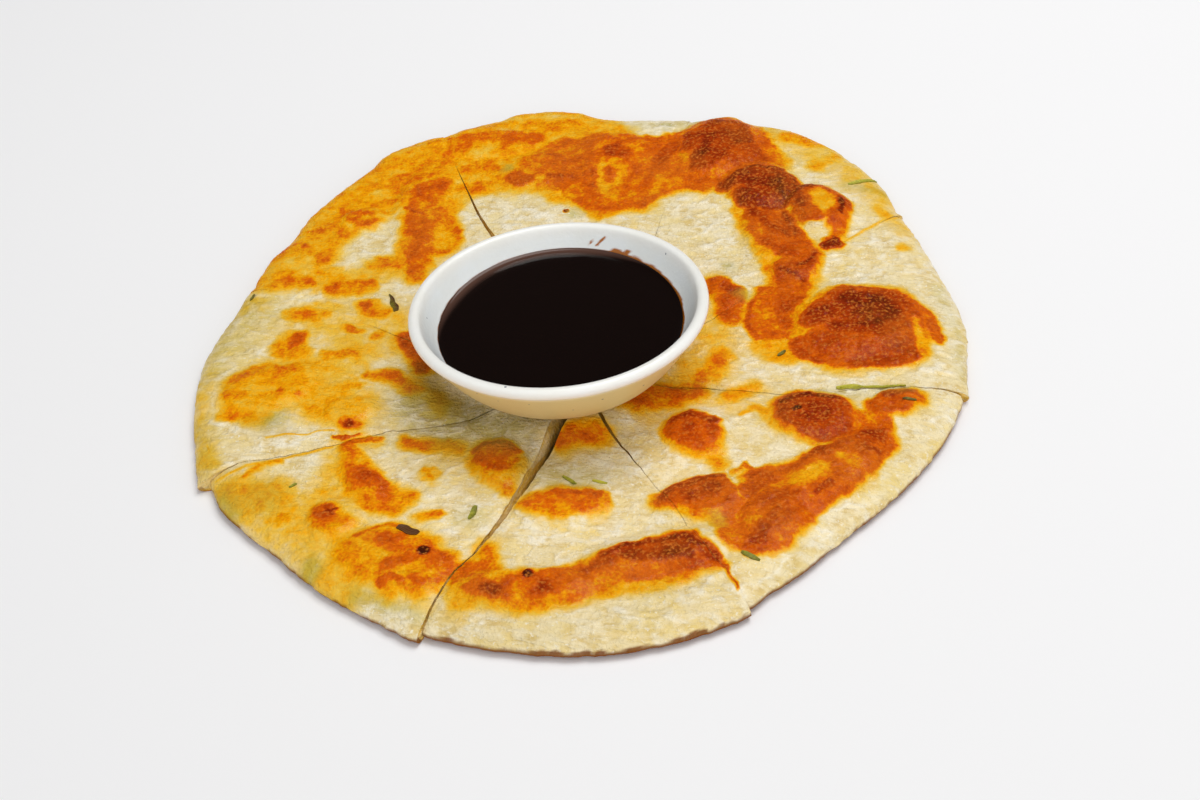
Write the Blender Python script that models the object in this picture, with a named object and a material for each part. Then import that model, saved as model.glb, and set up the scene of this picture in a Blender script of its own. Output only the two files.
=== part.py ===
"""A scallion pancake cut into eight slices, with a small dip bowl of sauce on its middle.

The slices keep the whole pancake's shape. Each one is a closed solid with a flat underside, a
rounded outer edge, browned blisters that stand proud of the skin, and the scallion flakes that
show on it. The bowl stands on the pressed middle, and the sauce fills it to its level.

Sizes are millimetres, and add_solid turns them into metres. +Z is up and -Y is the front. The
origin is on the surface that the pancake lies on, under the middle of its outline.
"""

import math
from bisect import bisect_right
from collections import namedtuple

import bmesh
import bpy
from mathutils import Matrix, Vector, noise

MM = 0.001
GAP = 0.3

# The pancake
HUB = Vector((0.5, -29.6))
SKIN_HEIGHT = 5.3
SWELL = 0.55
SWELL_LENGTH = 34.0
EDGE_HEIGHT = 1.8
UNDER_ROUND = 2.6
MARGIN_MIDDLE = 11.5
MARGIN_SWING = 5.0
MARGIN_WIDEST = math.radians(300)
BLISTER_SHOULDER = 1.35
TIP_WIDTH = 1.6
TIP_STEP = 0.25
REACH_ROUNDS = 3
COLUMN_PITCH = 5.2
ROW_PITCH = 5.2
FEWEST_COLUMNS = 6
EDGE_ROWS = (0.0, 0.5, 1.6, 3.6, 6.8, 11.0)
TUCK_END = 3.6
WALL_MIDDLE = 0.5
EDGE_MIDDLE = 0.3
LAYER_BITE = 0.35
LAYER_LENGTH = 5.0
LAYER_SEED = 9.0

# The dip bowl, which leans forward a little on the uneven pancake
BOWL_FOOT = Vector((-3.9, -19.0, 6.74))
BOWL_LEAN = math.radians(-4.3)
BOWL_SIDES = 48
PRESSED_PAST_FOOT = 2.5
PRESS_FADE = 9.0
FOOT_RADIUS = 19.5
FOOT_RING = 3.4
FOOT_RECESS = 1.1
FOOT_CHAMFER = 0.6
BELLY_TOP = Vector((38.0, 18.2))
BELLY_POWER = 0.52
LIP_CENTRE = Vector((37.9, 20.3))
LIP_HALF = 1.6
LIP_END = math.radians(152)
FLOOR_HEIGHT = 3.9
WALL_POWERS = (5.7, 0.9)
BELLY_STEPS = 5
BELLY_CROWDING = 1.6
LIP_STEPS = 6
WALL_STEPS = 9
WALL_CROWDING = 1.9
SAUCE_LEVEL = 20.9

Cut = namedtuple("Cut", "points wide narrow closes")
Slice = namedtuple("Slice", "name edge")
Blister = namedtuple("Blister", "x y long wide turn rise")
Flake = namedtuple("Flake", "on x y long wide turn")

# Each cut runs from the hub out through its points. It is wide at the hub, and narrow from the
# distance where it closes. The first is the one on the right, and the rest follow anticlockwise.
CUTS = (
    Cut(((20, -29.5), (40, -33), (55, -37), (70, -37.5), (85, -39), (101, -41.5)), 0.7, 0.5, 40),
    Cut(((49, 5), (60, 12.5), (78, 25), (87, 30), (100, 39.5)), 0.7, 0.5, 60),
    Cut(((26, 39), (35, 71), (39.5, 89), (42.5, 101)), 1.1, 0.5, 110),
    Cut(((-22.5, 46), (-26, 56), (-31, 75), (-32.5, 81), (-38, 104)), 1.4, 0.6, 120),
    Cut(((-48, 1), (-58, 9), (-68, 15), (-79, 25), (-95, 33)), 0.8, 0.5, 60),
    Cut(((-40, -36), (-52, -36), (-60, -38), (-79, -41), (-90, -42), (-98, -46)), 0.7, 0.5, 60),
    Cut(((-6, -40), (-12.5, -53), (-20, -67.5), (-27, -79), (-35, -89), (-43, -105)), 5.6, 0.8, 60),
    Cut(((5, -42), (9, -50), (17, -67), (25, -86), (31, -97), (34.6, -107)), 1.8, 0.5, 45),
)

# Each slice lies between its own cut and the next, and its edge runs anticlockwise. Where two
# slices moved apart under the knife, the edge steps from one to the other.
SLICES = (
    Slice("slice_1", ((101, -40), (103, -30), (106, -17), (106, -3), (104, 11), (100, 38))),
    Slice("slice_2", ((99, 42), (97, 53), (87, 75), (81, 83), (72, 91), (62, 96), (56, 101.5),
                      (44, 100.5))),
    Slice("slice_3", ((41, 102), (30, 104), (22, 105), (13, 108), (7, 112.5), (-2, 115), (-13, 115),
                      (-20, 112), (-30, 109), (-37, 105))),
    Slice("slice_4", ((-38, 105), (-43, 105), (-50, 102), (-57, 97.5), (-61, 91), (-70, 81),
                      (-80, 67), (-85, 55), (-90, 48), (-94, 35))),
    Slice("slice_5", ((-96, 31), (-98, 24), (-102, 14), (-105, 4), (-106, -5), (-104, -32),
                      (-102, -45))),
    Slice("slice_6", ((-98.5, -46), (-95, -55), (-90, -62), (-80, -73), (-62, -92), (-53, -99),
                      (-45, -105))),
    Slice("slice_7", ((-42, -104), (-30, -109), (-14, -113.5), (0, -115), (13, -113.5),
                      (16, -111.5), (30, -106.3), (34.3, -104))),
    Slice("slice_8", ((35, -105.5), (42, -100.5), (60, -87), (70, -79), (80, -70), (90, -58.5),
                      (99, -43))),
)

# The browned blisters, which stood proud and met the pan: middle, half sizes, turn in degrees
# and rise above the skin.
BLISTERS = (
    Blister(78, -9, 19, 16, 0, 1.7),
    Blister(59, -46, 11, 10, 0, 1.5),
    Blister(81, -45, 7, 6, 0, 1.1),
    Blister(61, -66, 17, 8, 42, 1.3),
    Blister(44, -80, 8, 9, 0, 1.1),
    Blister(27, -72, 12, 8, 10, 1.4),
    Blister(29, -48, 9, 8, 0, 1.5),
    Blister(14, -88, 18, 7, 8, 1.7),
    Blister(-18, -95, 17, 6, -4, 1.5),
    Blister(-7, -70, 12, 7, 5, 1.0),
    Blister(-22, -52, 7, 9, 0, 1.3),
    Blister(-50, -82, 15, 10, -35, 1.1),
    Blister(-64, -66, 7, 7, 0, 1.2),
    Blister(-58, -50, 13, 5, 110, 0.9),
    Blister(-85, -14, 14, 9, 20, 1.1),
    Blister(-62, -26, 7, 5, 0, 0.9),
    Blister(-44, 62, 24, 9, 80, 1.0),
    Blister(-62, 60, 7, 6, 0, 0.9),
    Blister(-25, 97, 18, 9, -12, 0.9),
    Blister(-8, 78, 13, 9, 0, 0.9),
    Blister(16, 82, 13, 12, 0, 1.0),
    Blister(50, 81, 13, 16, -10, 2.0),
    Blister(60, 58, 12, 11, -40, 1.9),
    Blister(75, 44, 9, 12, 20, 2.1),
    Blister(57, 33, 6, 14, 0, 1.1),
    Blister(65, 18, 8, 7, 0, 1.1),
    Blister(44, 9, 6, 8, 0, 0.8),
)

# The scallion flakes large enough to see from a step away, fused to the slice they lie on.
FLAKE_HEIGHT = 1.8
FLAKE_PROUD = 0.55
FLAKE_WAVE = 0.16
FLAKE_WAVE_TURNS = 5.0
FLAKE_TAPER = 0.5
FLAKE_STEPS = 3
FLAKES = (
    Flake("slice_1", 75, -35.9, 15, 1.3, -2),
    Flake("slice_1", 54.5, -20.5, 3.4, 2.0, 40),
    Flake("slice_2", 90.6, 54.6, 8.5, 1.7, 24),
    Flake("slice_4", -52, 18, 8, 3.2, 105),
    Flake("slice_6", -46, -72, 6.5, 3.6, -25),
    Flake("slice_6", -29.5, -69, 5, 2.6, 65),
    Flake("slice_7", -5, -61, 5, 1.7, -50),
    Flake("slice_8", 36.5, -92, 5, 2.2, -28),
    Flake("slice_8", 84, -45, 4.2, 1.6, -12),
)


def mix(low, high, share):
    """The value at a share of the way from low to high."""
    return low + (high - low) * share


def ease(value):
    """A smooth step from 0 to 1."""
    value = min(1.0, max(0.0, value))
    return value * value * (3.0 - 2.0 * value)


def round_share(share, power=2.0):
    """How far a rounded edge has risen, from 0 at the edge to 1 where its margin ends."""
    return (1.0 - (1.0 - min(1.0, max(0.0, share))) ** power) ** (1.0 / power)


def around_hub(x, y):
    """A place seen from the hub: its turn, from -90 up to 270 degrees, and its distance."""
    arm = Vector((x, y)) - HUB
    turn = math.atan2(arm.y, arm.x)
    return (turn if turn > -math.pi / 2 else turn + 2 * math.pi), arm.length


def from_hub(turn, distance):
    """The place at a turn and a distance from the hub."""
    return HUB.x + distance * math.cos(turn), HUB.y + distance * math.sin(turn)


def smooth_lookup(knots, at):
    """A smooth curve through (place, value) knots in rising order, flat beyond their ends."""
    if at <= knots[0][0]:
        return knots[0][1]
    if at >= knots[-1][0]:
        return knots[-1][1]
    k = bisect_right([place for place, _ in knots], at) - 1
    (a, low), (b, high) = knots[k], knots[k + 1]
    before, after = knots[max(k - 1, 0)], knots[min(k + 2, len(knots) - 1)]
    slope_low = (high - before[1]) / (b - before[0])
    slope_high = (after[1] - low) / (after[0] - a)
    share, width = (at - a) / (b - a), b - a
    lift = share * (1.0 - share) ** 2 * slope_low - share**2 * (1.0 - share) * slope_high
    return mix(low, high, ease(share)) + lift * width


def cut_knots(cut):
    """A cut as knots of distance from the hub and turn."""
    return sorted((distance, turn) for turn, distance in (around_hub(*p) for p in cut.points))


def edge_knots(outline):
    """A slice's outer edge as knots of turn and distance from the hub."""
    return sorted(around_hub(*p) for p in outline)


CUT_KNOTS = [cut_knots(cut) for cut in CUTS]
EDGE_KNOTS = {piece.name: edge_knots(piece.edge) for piece in SLICES}


def half_width(index, distance):
    """Half of a cut's width at a distance from the hub."""
    cut = CUTS[index]
    return mix(cut.narrow, cut.wide, max(0.0, 1.0 - distance / cut.closes)) / 2


def side_turns(order, distance):
    """The turns of a slice's two cut sides at a distance from the hub."""
    after = (order + 1) % len(CUTS)
    first = smooth_lookup(CUT_KNOTS[order], distance)
    last = smooth_lookup(CUT_KNOTS[after], distance)
    first += math.asin(min(1.0, half_width(order, distance) / distance))
    last -= math.asin(min(1.0, half_width(after, distance) / distance))
    return first, last if last > first - math.pi else last + 2 * math.pi


def tip_distance(order):
    """How far from the hub a slice's blunt tip starts."""
    distance = 1.0
    first, last = side_turns(order, distance)
    while (last - first) * distance < TIP_WIDTH:
        distance += TIP_STEP
        first, last = side_turns(order, distance)
    return distance


def reach(order, across):
    """The turn and distance of a slice's outer edge at a share of the way across it."""
    knots = EDGE_KNOTS[SLICES[order].name]
    distance = mix(knots[0][1], knots[-1][1], across)
    for _ in range(REACH_ROUNDS):
        turn = mix(*side_turns(order, distance), across)
        distance = smooth_lookup(knots, turn)
    return turn, distance


def foot_plane(x, y):
    """The height of the pressed skin under the bowl's foot."""
    return BOWL_FOOT.z - GAP + (y - BOWL_FOOT.y) * math.tan(BOWL_LEAN)


def free_skin(x, y):
    """The height of the skin clear of the bowl and the outer edge."""
    height = SKIN_HEIGHT + SWELL * noise.noise(Vector((x, y, 0)) / SWELL_LENGTH)
    rise = 0.0
    for blister in BLISTERS:
        away = Vector((x - blister.x, y - blister.y)) @ Matrix.Rotation(math.radians(blister.turn), 2)
        reached = (away.x / blister.long) ** 2 + (away.y / blister.wide) ** 2
        rise = max(rise, blister.rise * ease(BLISTER_SHOULDER - reached))
    return height + rise


def skin(x, y):
    """The height of the skin anywhere but at the outer edge."""
    away = math.hypot(x - BOWL_FOOT.x, y - BOWL_FOOT.y)
    share = ease((away - FOOT_RADIUS - PRESSED_PAST_FOOT) / PRESS_FADE)
    return mix(foot_plane(x, y), free_skin(x, y), share)


def top_height(x, y, turn, inside):
    """The height of the top, at a distance inside the outer edge."""
    margin = MARGIN_MIDDLE + MARGIN_SWING * math.cos(turn - MARGIN_WIDEST)
    return mix(EDGE_HEIGHT, skin(x, y), round_share(inside / margin))


def add_solid(name, bm, surface):
    """Turns a mesh in millimetres into a named object in metres, with its faces outwards."""
    bmesh.ops.recalc_face_normals(bm, faces=bm.faces)
    bmesh.ops.scale(bm, vec=(MM, MM, MM), verts=bm.verts)
    mesh = bpy.data.meshes.new(name)
    bm.to_mesh(mesh)
    bm.free()
    mesh.materials.append(surface)
    solid = bpy.data.objects.new(name, mesh)
    bpy.context.scene.collection.objects.link(solid)
    return solid


def add_material(name, colour, roughness):
    """A Principled material with a colour and a roughness."""
    surface = bpy.data.materials.new(name)
    surface.use_nodes = True
    shader = surface.node_tree.nodes["Principled BSDF"]
    shader.inputs["Base Color"].default_value = (*colour, 1.0)
    shader.inputs["Roughness"].default_value = roughness
    surface.diffuse_color = (*colour, 1.0)
    return surface


def join_rings(bm, upper, lower):
    """Faces between two closed rings of as many points."""
    for k, vertex in enumerate(upper):
        after = (k + 1) % len(upper)
        bm.faces.new((vertex, lower[k], lower[after], upper[after]))


def row_insides(tip, edge, inner_rows):
    """How far inside the edge each of a column's points lies, from its tip out."""
    inner = edge - EDGE_ROWS[-1]
    steps = [edge - mix(tip, inner, k / inner_rows) for k in range(inner_rows)]
    return steps + list(reversed(EDGE_ROWS))


def tucked(inside, depth):
    """A distance inside the edge, drawn in by a depth at the edge itself."""
    return max(inside, mix(depth, TUCK_END, inside / TUCK_END))


def slice_place(order, across, distance, bite=0.0):
    """The turn and the place across a slice at a distance from the hub, moved in by a bite."""
    turn = mix(*side_turns(order, distance), across) + bite / distance
    return turn, from_hub(turn, distance)


def layer_bite(place):
    """How far the layers of a cut side are drawn in half way down."""
    return LAYER_BITE * (0.5 + noise.noise(Vector((*place, LAYER_SEED)) / LAYER_LENGTH))


def slice_mesh(order):
    """One slice: its top as a grid, its walls down to the base, and a flat base."""
    bm = bmesh.new()
    tip = tip_distance(order)
    first_turn, first_edge = reach(order, 0.0)
    last_turn, last_edge = reach(order, 1.0)
    edge_length = (last_turn - first_turn) * (first_edge + last_edge) / 2
    columns = max(FEWEST_COLUMNS, round(edge_length / COLUMN_PITCH))
    inner_rows = round((min(first_edge, last_edge) - EDGE_ROWS[-1] - tip) / ROW_PITCH)
    last_row = inner_rows + len(EDGE_ROWS) - 1

    top, walls, base = {}, {}, {}
    for i in range(columns + 1):
        across = i / columns
        inwards = {0: 1, columns: -1}.get(i, 0)
        _, edge = reach(order, across)
        for j, inside in enumerate(row_insides(tip, edge, inner_rows)):
            turn, place = slice_place(order, across, edge - inside)
            height = top_height(*place, turn, inside)
            top[i, j] = bm.verts.new((*place, height))
            if inwards or j in (0, last_row):
                bite = inwards * layer_bite(place) if 0 < j < last_row else 0.0
                middle = edge - tucked(inside, UNDER_ROUND / 4)
                half_way = height * (EDGE_MIDDLE if j == last_row else WALL_MIDDLE)
                walls[i, j] = bm.verts.new((*slice_place(order, across, middle, bite)[1], half_way))
                low = edge - tucked(inside, UNDER_ROUND)
                base[i, j] = bm.verts.new((*slice_place(order, across, low)[1], 0.0))

    for i in range(columns):
        for j in range(last_row):
            bm.faces.new((top[i, j], top[i, j + 1], top[i + 1, j + 1], top[i + 1, j]))
    rim = [(0, j) for j in range(last_row)] + [(i, last_row) for i in range(columns)]
    rim += [(columns, j) for j in range(last_row, 0, -1)] + [(i, 0) for i in range(columns, 0, -1)]
    join_rings(bm, [top[key] for key in rim], [walls[key] for key in rim])
    join_rings(bm, [walls[key] for key in rim], [base[key] for key in rim])
    bm.faces.new([base[key] for key in rim])
    bmesh.ops.triangulate(bm, faces=bm.faces)
    return bm


def flake_mesh(flake):
    """A thin wavy strip of scallion, sunk a little into the skin under it."""
    bm = bmesh.new()
    middle, turn = Vector((flake.x, flake.y)), Matrix.Rotation(math.radians(flake.turn), 2)
    knots = EDGE_KNOTS[flake.on]
    rings = []
    for k in range(FLAKE_STEPS + 1):
        along = k / FLAKE_STEPS - 0.5
        width = flake.wide * (1.0 - FLAKE_TAPER * (2 * along) ** 4)
        ring = []
        for side, level in ((-0.5, 0), (0.5, 0), (0.5, 1), (-0.5, 1)):
            x, y = middle + turn @ Vector((along * flake.long, side * width))
            heading, distance = around_hub(x, y)
            height = top_height(x, y, heading, smooth_lookup(knots, heading) - distance)
            height = max(height, EDGE_HEIGHT + FLAKE_PROUD) + FLAKE_PROUD
            height += FLAKE_WAVE * math.sin(FLAKE_WAVE_TURNS * along) - FLAKE_HEIGHT * (1 - level)
            ring.append(bm.verts.new((x, y, height)))
        rings.append(ring)
    for upper, lower in zip(rings, rings[1:]):
        join_rings(bm, upper, lower)
    bm.faces.new(rings[0])
    bm.faces.new(rings[-1])
    bmesh.ops.triangulate(bm, faces=bm.faces)
    return bm


def fuse_flakes(solid, surface):
    """Joins a slice's flakes to it with one Boolean union, applied."""
    mine = [flake for flake in FLAKES if flake.on == solid.name]
    if not mine:
        return
    group = bpy.data.collections.new(f"{solid.name}_flakes")
    for k, flake in enumerate(mine):
        strip = add_solid(f"{solid.name}_flake_{k + 1}", flake_mesh(flake), surface)
        bpy.context.scene.collection.objects.unlink(strip)
        group.objects.link(strip)
    bpy.context.scene.collection.children.link(group)
    union = solid.modifiers.new("flakes", "BOOLEAN")
    union.operation = "UNION"
    union.operand_type = "COLLECTION"
    union.collection = group
    union.solver = "EXACT"
    evaluated = solid.evaluated_get(bpy.context.evaluated_depsgraph_get())
    fused = bpy.data.meshes.new_from_object(evaluated)
    solid.modifiers.remove(union)
    solid.data = fused
    for strip in list(group.objects):
        bpy.data.objects.remove(strip)
    bpy.data.collections.remove(group)


def lip_point(turn):
    """Radius and height of the lip's round at a turn, from its outer side over the top."""
    return LIP_CENTRE.x + LIP_HALF * math.cos(turn), LIP_CENTRE.y + LIP_HALF * math.sin(turn)


def wall_radius(height):
    """The radius of the bowl's inner wall at a height above its foot."""
    widest, top = lip_point(LIP_END)
    across, along = WALL_POWERS
    share = (height - FLOOR_HEIGHT) / (top - FLOOR_HEIGHT)
    return widest * (1.0 - (1.0 - share) ** along) ** (1.0 / across)


def wall_heights():
    """Heights down the inner wall, closer together towards the floor."""
    top = lip_point(LIP_END)[1]
    return [mix(FLOOR_HEIGHT, top, (1.0 - k / WALL_STEPS) ** WALL_CROWDING) for k in range(1, WALL_STEPS)]


def belly_profile():
    """The bowl's outer wall, from the foot up to the lip."""
    points = []
    for k in range(BELLY_STEPS + 1):
        share = (k / BELLY_STEPS) ** BELLY_CROWDING
        radius = mix(FOOT_RADIUS, BELLY_TOP.x, share**BELLY_POWER)
        points.append((radius, mix(FOOT_CHAMFER, BELLY_TOP.y, share)))
    return points


def turned_mesh(profile):
    """A solid turned round the bowl's axis from a profile of (radius, height) points."""
    bm = bmesh.new()
    points = [bm.verts.new((radius, 0.0, height)) for radius, height in profile]
    lines = [bm.edges.new(pair) for pair in zip(points, points[1:])]
    bmesh.ops.spin(
        bm, geom=points + lines, cent=(0, 0, 0), axis=(0, 0, 1), angle=2 * math.pi, steps=BOWL_SIDES
    )
    bmesh.ops.remove_doubles(bm, verts=bm.verts, dist=0.001)
    bmesh.ops.transform(bm, matrix=bowl_stance(), verts=bm.verts)
    return bm


def bowl_stance():
    """How the bowl stands on the pancake."""
    return Matrix.Translation(BOWL_FOOT) @ Matrix.Rotation(BOWL_LEAN, 4, "X")


def bowl_mesh():
    """The dip bowl: a foot ring, a round belly, a thick lip and the hollow."""
    ring = FOOT_RADIUS - FOOT_RING
    profile = [(0.0, FOOT_RECESS), (ring - FOOT_CHAMFER, FOOT_RECESS), (ring, 0.0)]
    profile += [(FOOT_RADIUS - FOOT_CHAMFER, 0.0)] + belly_profile()
    profile += [lip_point(LIP_END * k / LIP_STEPS) for k in range(LIP_STEPS + 1)]
    profile += [(wall_radius(height), height) for height in wall_heights()] + [(0.0, FLOOR_HEIGHT)]
    bm = turned_mesh(profile)
    bmesh.ops.triangulate(bm, faces=bm.faces)
    return bm


def sauce_mesh():
    """The sauce: the hollow of the bowl up to a level surface."""
    top = lip_point(LIP_END)[1]
    profile = [(0.0, top + GAP)]
    profile += [(wall_radius(height) - GAP, height + GAP) for height in [top] + wall_heights()]
    bm = turned_mesh(profile + [(0.0, FLOOR_HEIGHT + GAP)])
    everything = list(bm.verts) + list(bm.edges) + list(bm.faces)
    cut = bmesh.ops.bisect_plane(
        bm, geom=everything, plane_co=(0, 0, SAUCE_LEVEL), plane_no=(0, 0, 1), clear_outer=True
    )
    rim = [edge for edge in cut["geom_cut"] if isinstance(edge, bmesh.types.BMEdge)]
    bmesh.ops.contextual_create(bm, geom=rim)
    bmesh.ops.triangulate(bm, faces=bm.faces)
    return bm


def main():
    """Clears the scene and builds the slices, the bowl and the sauce."""
    for leftover in list(bpy.data.objects):
        bpy.data.objects.remove(leftover)
    dough = add_material("fried_dough", (0.72, 0.45, 0.16), 0.45)
    for order, piece in enumerate(SLICES):
        fuse_flakes(add_solid(piece.name, slice_mesh(order), dough), dough)
    glaze = add_material("bowl_glaze", (0.82, 0.80, 0.74), 0.25)
    for polygon in add_solid("dip_bowl", bowl_mesh(), glaze).data.polygons:
        polygon.use_smooth = True
    add_solid("dip_sauce", sauce_mesh(), add_material("dip_sauce", (0.02, 0.007, 0.004), 0.12))


main()
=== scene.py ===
"""The looks of a scallion pancake in eight slices, with a dip bowl of sauce on its middle.

Each slice is a finely cut block, shaped into a wedge whose top carries the blisters, the browning
and the wrinkles, and whose cut sides show the layers. The slices, the bowl and the sauce stand for
the frame's nodes. Sizes are millimetres in the frame's axes, and Bench.settle turns them into
metres. +Z is up and -Y is the front.
"""

import logging
import math
from collections.abc import Iterator
from contextlib import contextmanager
from dataclasses import dataclass
from enum import Enum
from functools import reduce

import bpy
import numpy as np
from mathutils import Matrix, Vector, noise


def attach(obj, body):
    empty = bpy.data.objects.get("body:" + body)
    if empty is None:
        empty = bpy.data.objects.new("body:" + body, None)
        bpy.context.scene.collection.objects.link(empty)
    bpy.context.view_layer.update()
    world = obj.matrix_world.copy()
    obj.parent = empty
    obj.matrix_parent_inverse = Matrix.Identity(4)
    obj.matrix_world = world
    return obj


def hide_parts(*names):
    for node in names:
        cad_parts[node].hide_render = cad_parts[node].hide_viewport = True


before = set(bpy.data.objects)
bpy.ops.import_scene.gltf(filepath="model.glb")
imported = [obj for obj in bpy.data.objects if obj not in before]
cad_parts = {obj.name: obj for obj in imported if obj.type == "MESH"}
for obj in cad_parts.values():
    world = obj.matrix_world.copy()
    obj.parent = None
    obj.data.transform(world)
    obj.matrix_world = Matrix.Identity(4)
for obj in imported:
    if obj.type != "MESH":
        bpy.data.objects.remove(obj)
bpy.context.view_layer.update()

logging.basicConfig(level=logging.INFO, format="%(message)s")
log = logging.getLogger("pancake")

Array = np.ndarray
Place = tuple[float, float]
Disc = tuple[float, float, float]
Piece = bpy.types.Object
Socket = bpy.types.NodeSocket
Inputs = dict[str | int, object]
MM = 0.001
SHARP_ANGLE = math.radians(55)

# Odd whole numbers that scatter the noise's lattice
SCATTER = (374761393, 668265263, 2246822519, 3266489917)

# The pancake
HUB: Place = (0.5, -29.6)
SKIN_HEIGHT = 5.3
SWELL = 0.55
SWELL_LENGTH = 34.0
EDGE_HEIGHT = 1.8
UNDER_ROUND = 2.6
TUCK_END = 3.6
MARGIN_MIDDLE = 11.5
MARGIN_SWING = 5.0
MARGIN_WIDEST = math.radians(300)
EDGE_INSET = 0.15
TIP_WIDTH = 1.6

# The dip bowl, which leans forward a little on the uneven pancake
BOWL_FOOT = Vector((-3.9, -19.0, 6.74))
BOWL_LEAN = math.radians(-4.3)
BOWL_GAP = 0.3
FOOT_RADIUS = 19.5
FOOT_RING = 3.4
FOOT_RECESS = 1.1
FOOT_CHAMFER = 0.6
FOOT_PRESS = 2.5
FOOT_FADE = 9.0
BELLY_TOP: Place = (38.0, 18.2)
BELLY_POWER = 0.52
LIP_CENTRE: Place = (37.9, 20.3)
LIP_HALF = 1.6
LIP_END = math.radians(152)
FLOOR_HEIGHT = 3.9
WALL_POWERS = (5.7, 0.9)
SAUCE_LEVEL = 20.9
SAUCE_SHOWN = SAUCE_LEVEL - 0.9

# The browning, where 1 is dark brown: its darkest tone, and the golden fringe of patches past a tone
BURNT = 1.25
FRINGED = 0.43
FRINGE_TONE = 0.31
FRINGE_SOFT = 0.8
FRINGE_DROP = 0.8


class Tone(Enum):
    """Colours, as red, green and blue from 0 to 255."""

    DOUGH = (246, 226, 170)
    CREAM = (245, 215, 130)
    BUTTER = (246, 196, 62)
    GOLD = (250, 172, 0)
    ORANGE = (226, 103, 0)
    RUST = (192, 72, 0)
    BROWN = (154, 45, 0)
    UMBER = (110, 28, 0)
    CHAR = (58, 17, 2)
    OLIVE = (168, 160, 62)
    SHADE = (220, 188, 112)
    # MILK is the whitish skin's colour, also used for the painted glints and the painted highlight on the
    # pleats
    MILK = (252, 242, 216)
    # Painted highlight: the light orange glints on the browned skin
    SHINE = (228, 134, 50)
    LAYER = (246, 202, 92)
    CRUST = (126, 62, 0)
    # Painted shadow: the dark olive laid where the bowl and the cuts shade the dough
    PAINTED_SHADOW = (104, 84, 18)
    GLAZE = (246, 246, 242)
    # The belly's warm colour is painted reflection of the pancake on the bowl's outside, and the hollow's
    # cooler white is painted light; the glaze itself is one colour
    BELLY = (224, 206, 148)
    HOLLOW = (242, 246, 246)
    SPECK = (92, 98, 118)
    STAIN = (172, 96, 10)
    SAUCE = (14, 4, 2)
    SHALLOW = (88, 62, 52)
    LEAF = (134, 134, 34)
    LEAF_DARK = (90, 54, 24)
    LEAF_LIGHT = (198, 190, 56)
    FLOOR = (246, 246, 247)

    @property
    def linear(self) -> tuple[float, float, float, float]:
        """The colour as Blender's sockets take it."""
        parts = [value / 255 for value in self.value]
        return (*(p / 12.92 if p <= 0.04045 else ((p + 0.055) / 1.055) ** 2.4 for p in parts), 1.0)


class Lay(Enum):
    """How a browned patch goes over what lies under it."""

    DEEPENS = "deepens"
    COVERS = "covers"


def mix(low: Array | float, high: Array | float, share: Array | float) -> Array | float:
    """The value at a share of the way from low to high."""
    return low + (high - low) * share


def ease(value: Array) -> Array:
    """A smooth step from 0 to 1."""
    value = np.clip(value, 0.0, 1.0)
    return value * value * (3.0 - 2.0 * value)


def round_share(share: Array, power: float = 2.0) -> Array:
    """How far a rounded edge has risen, from 0 at the edge to 1 where its margin ends."""
    return (1.0 - (1.0 - np.clip(share, 0.0, 1.0)) ** power) ** (1.0 / power)


def around_hub(x: Array, y: Array) -> tuple[Array, Array]:
    """Places seen from the hub.

    Args:
        x: Places along X.
        y: Places along Y.

    Returns:
        The turns, from -90 up to 270 degrees, and the distances.
    """
    turn = np.arctan2(y - HUB[1], x - HUB[0])
    return np.where(turn > -math.pi / 2, turn, turn + 2 * math.pi), np.hypot(x - HUB[0], y - HUB[1])


@dataclass(frozen=True)
class Grain:
    """Repeatable smooth noise of one feature size, from -1 to 1."""

    size: float
    octaves: int = 3
    seed: int = 0
    finer: float = 2.07

    @staticmethod
    def corner(ix: Array, iy: Array, iz: Array, seed: int) -> Array:
        """The fixed random value of a lattice corner, from -1 to 1.

        Args:
            ix, iy, iz: The corner's whole numbers.
            seed: Which noise this is.

        Returns:
            One value for each corner.
        """
        for_x, for_y, for_z, for_seed = (np.uint32(value) for value in SCATTER)
        mixed = ix * for_x + iy * for_y + iz * for_z + np.uint32(seed * SCATTER[3] & 0xFFFFFFFF)
        mixed = (mixed ^ (mixed >> 15)) * for_z
        mixed = (mixed ^ (mixed >> 13)) * for_seed
        return (mixed ^ (mixed >> 16)) / 2.0**31 - 1.0

    @classmethod
    def smooth(cls, x: Array, y: Array, z: Array, seed: int) -> Array:
        """One octave of noise on a lattice of whole numbers.

        Args:
            x, y, z: Places in lattice steps.
            seed: Which noise this is.

        Returns:
            The value at each place.
        """
        lows = [np.floor(value) for value in (x, y, z)]
        shares = [ease(value - low) for value, low in zip((x, y, z), lows)]
        whole = [low.astype(np.int64).astype(np.uint32) for low in lows]
        one = np.uint32(1)
        planes = []
        for iz in (whole[2], whole[2] + one):
            rows = []
            for iy in (whole[1], whole[1] + one):
                ends = [cls.corner(ix, iy, iz, seed) for ix in (whole[0], whole[0] + one)]
                rows.append(mix(*ends, shares[0]))
            planes.append(mix(*rows, shares[1]))
        return mix(*planes, shares[2])

    def at(self, x: Array, y: Array, z: Array | float = 0.0) -> Array:
        """The noise at places.

        Args:
            x, y, z: Places in millimetres.

        Returns:
            The sum of the octaves, from -1 to 1.
        """
        x, y, z = np.broadcast_arrays(np.asarray(x, float), y, z)
        total, weight, scale = 0.0, 0.0, 1.0 / self.size
        for octave in range(self.octaves):
            share, turn = 0.5**octave, 0.6 + 0.9 * octave
            along = (math.cos(turn) * x - math.sin(turn) * y) * scale
            aside = (math.sin(turn) * x + math.cos(turn) * y) * scale
            total = total + share * self.smooth(along, aside, z * scale, self.seed + 37 * octave)
            weight += share
            scale *= self.finer
        return total / weight


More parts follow.
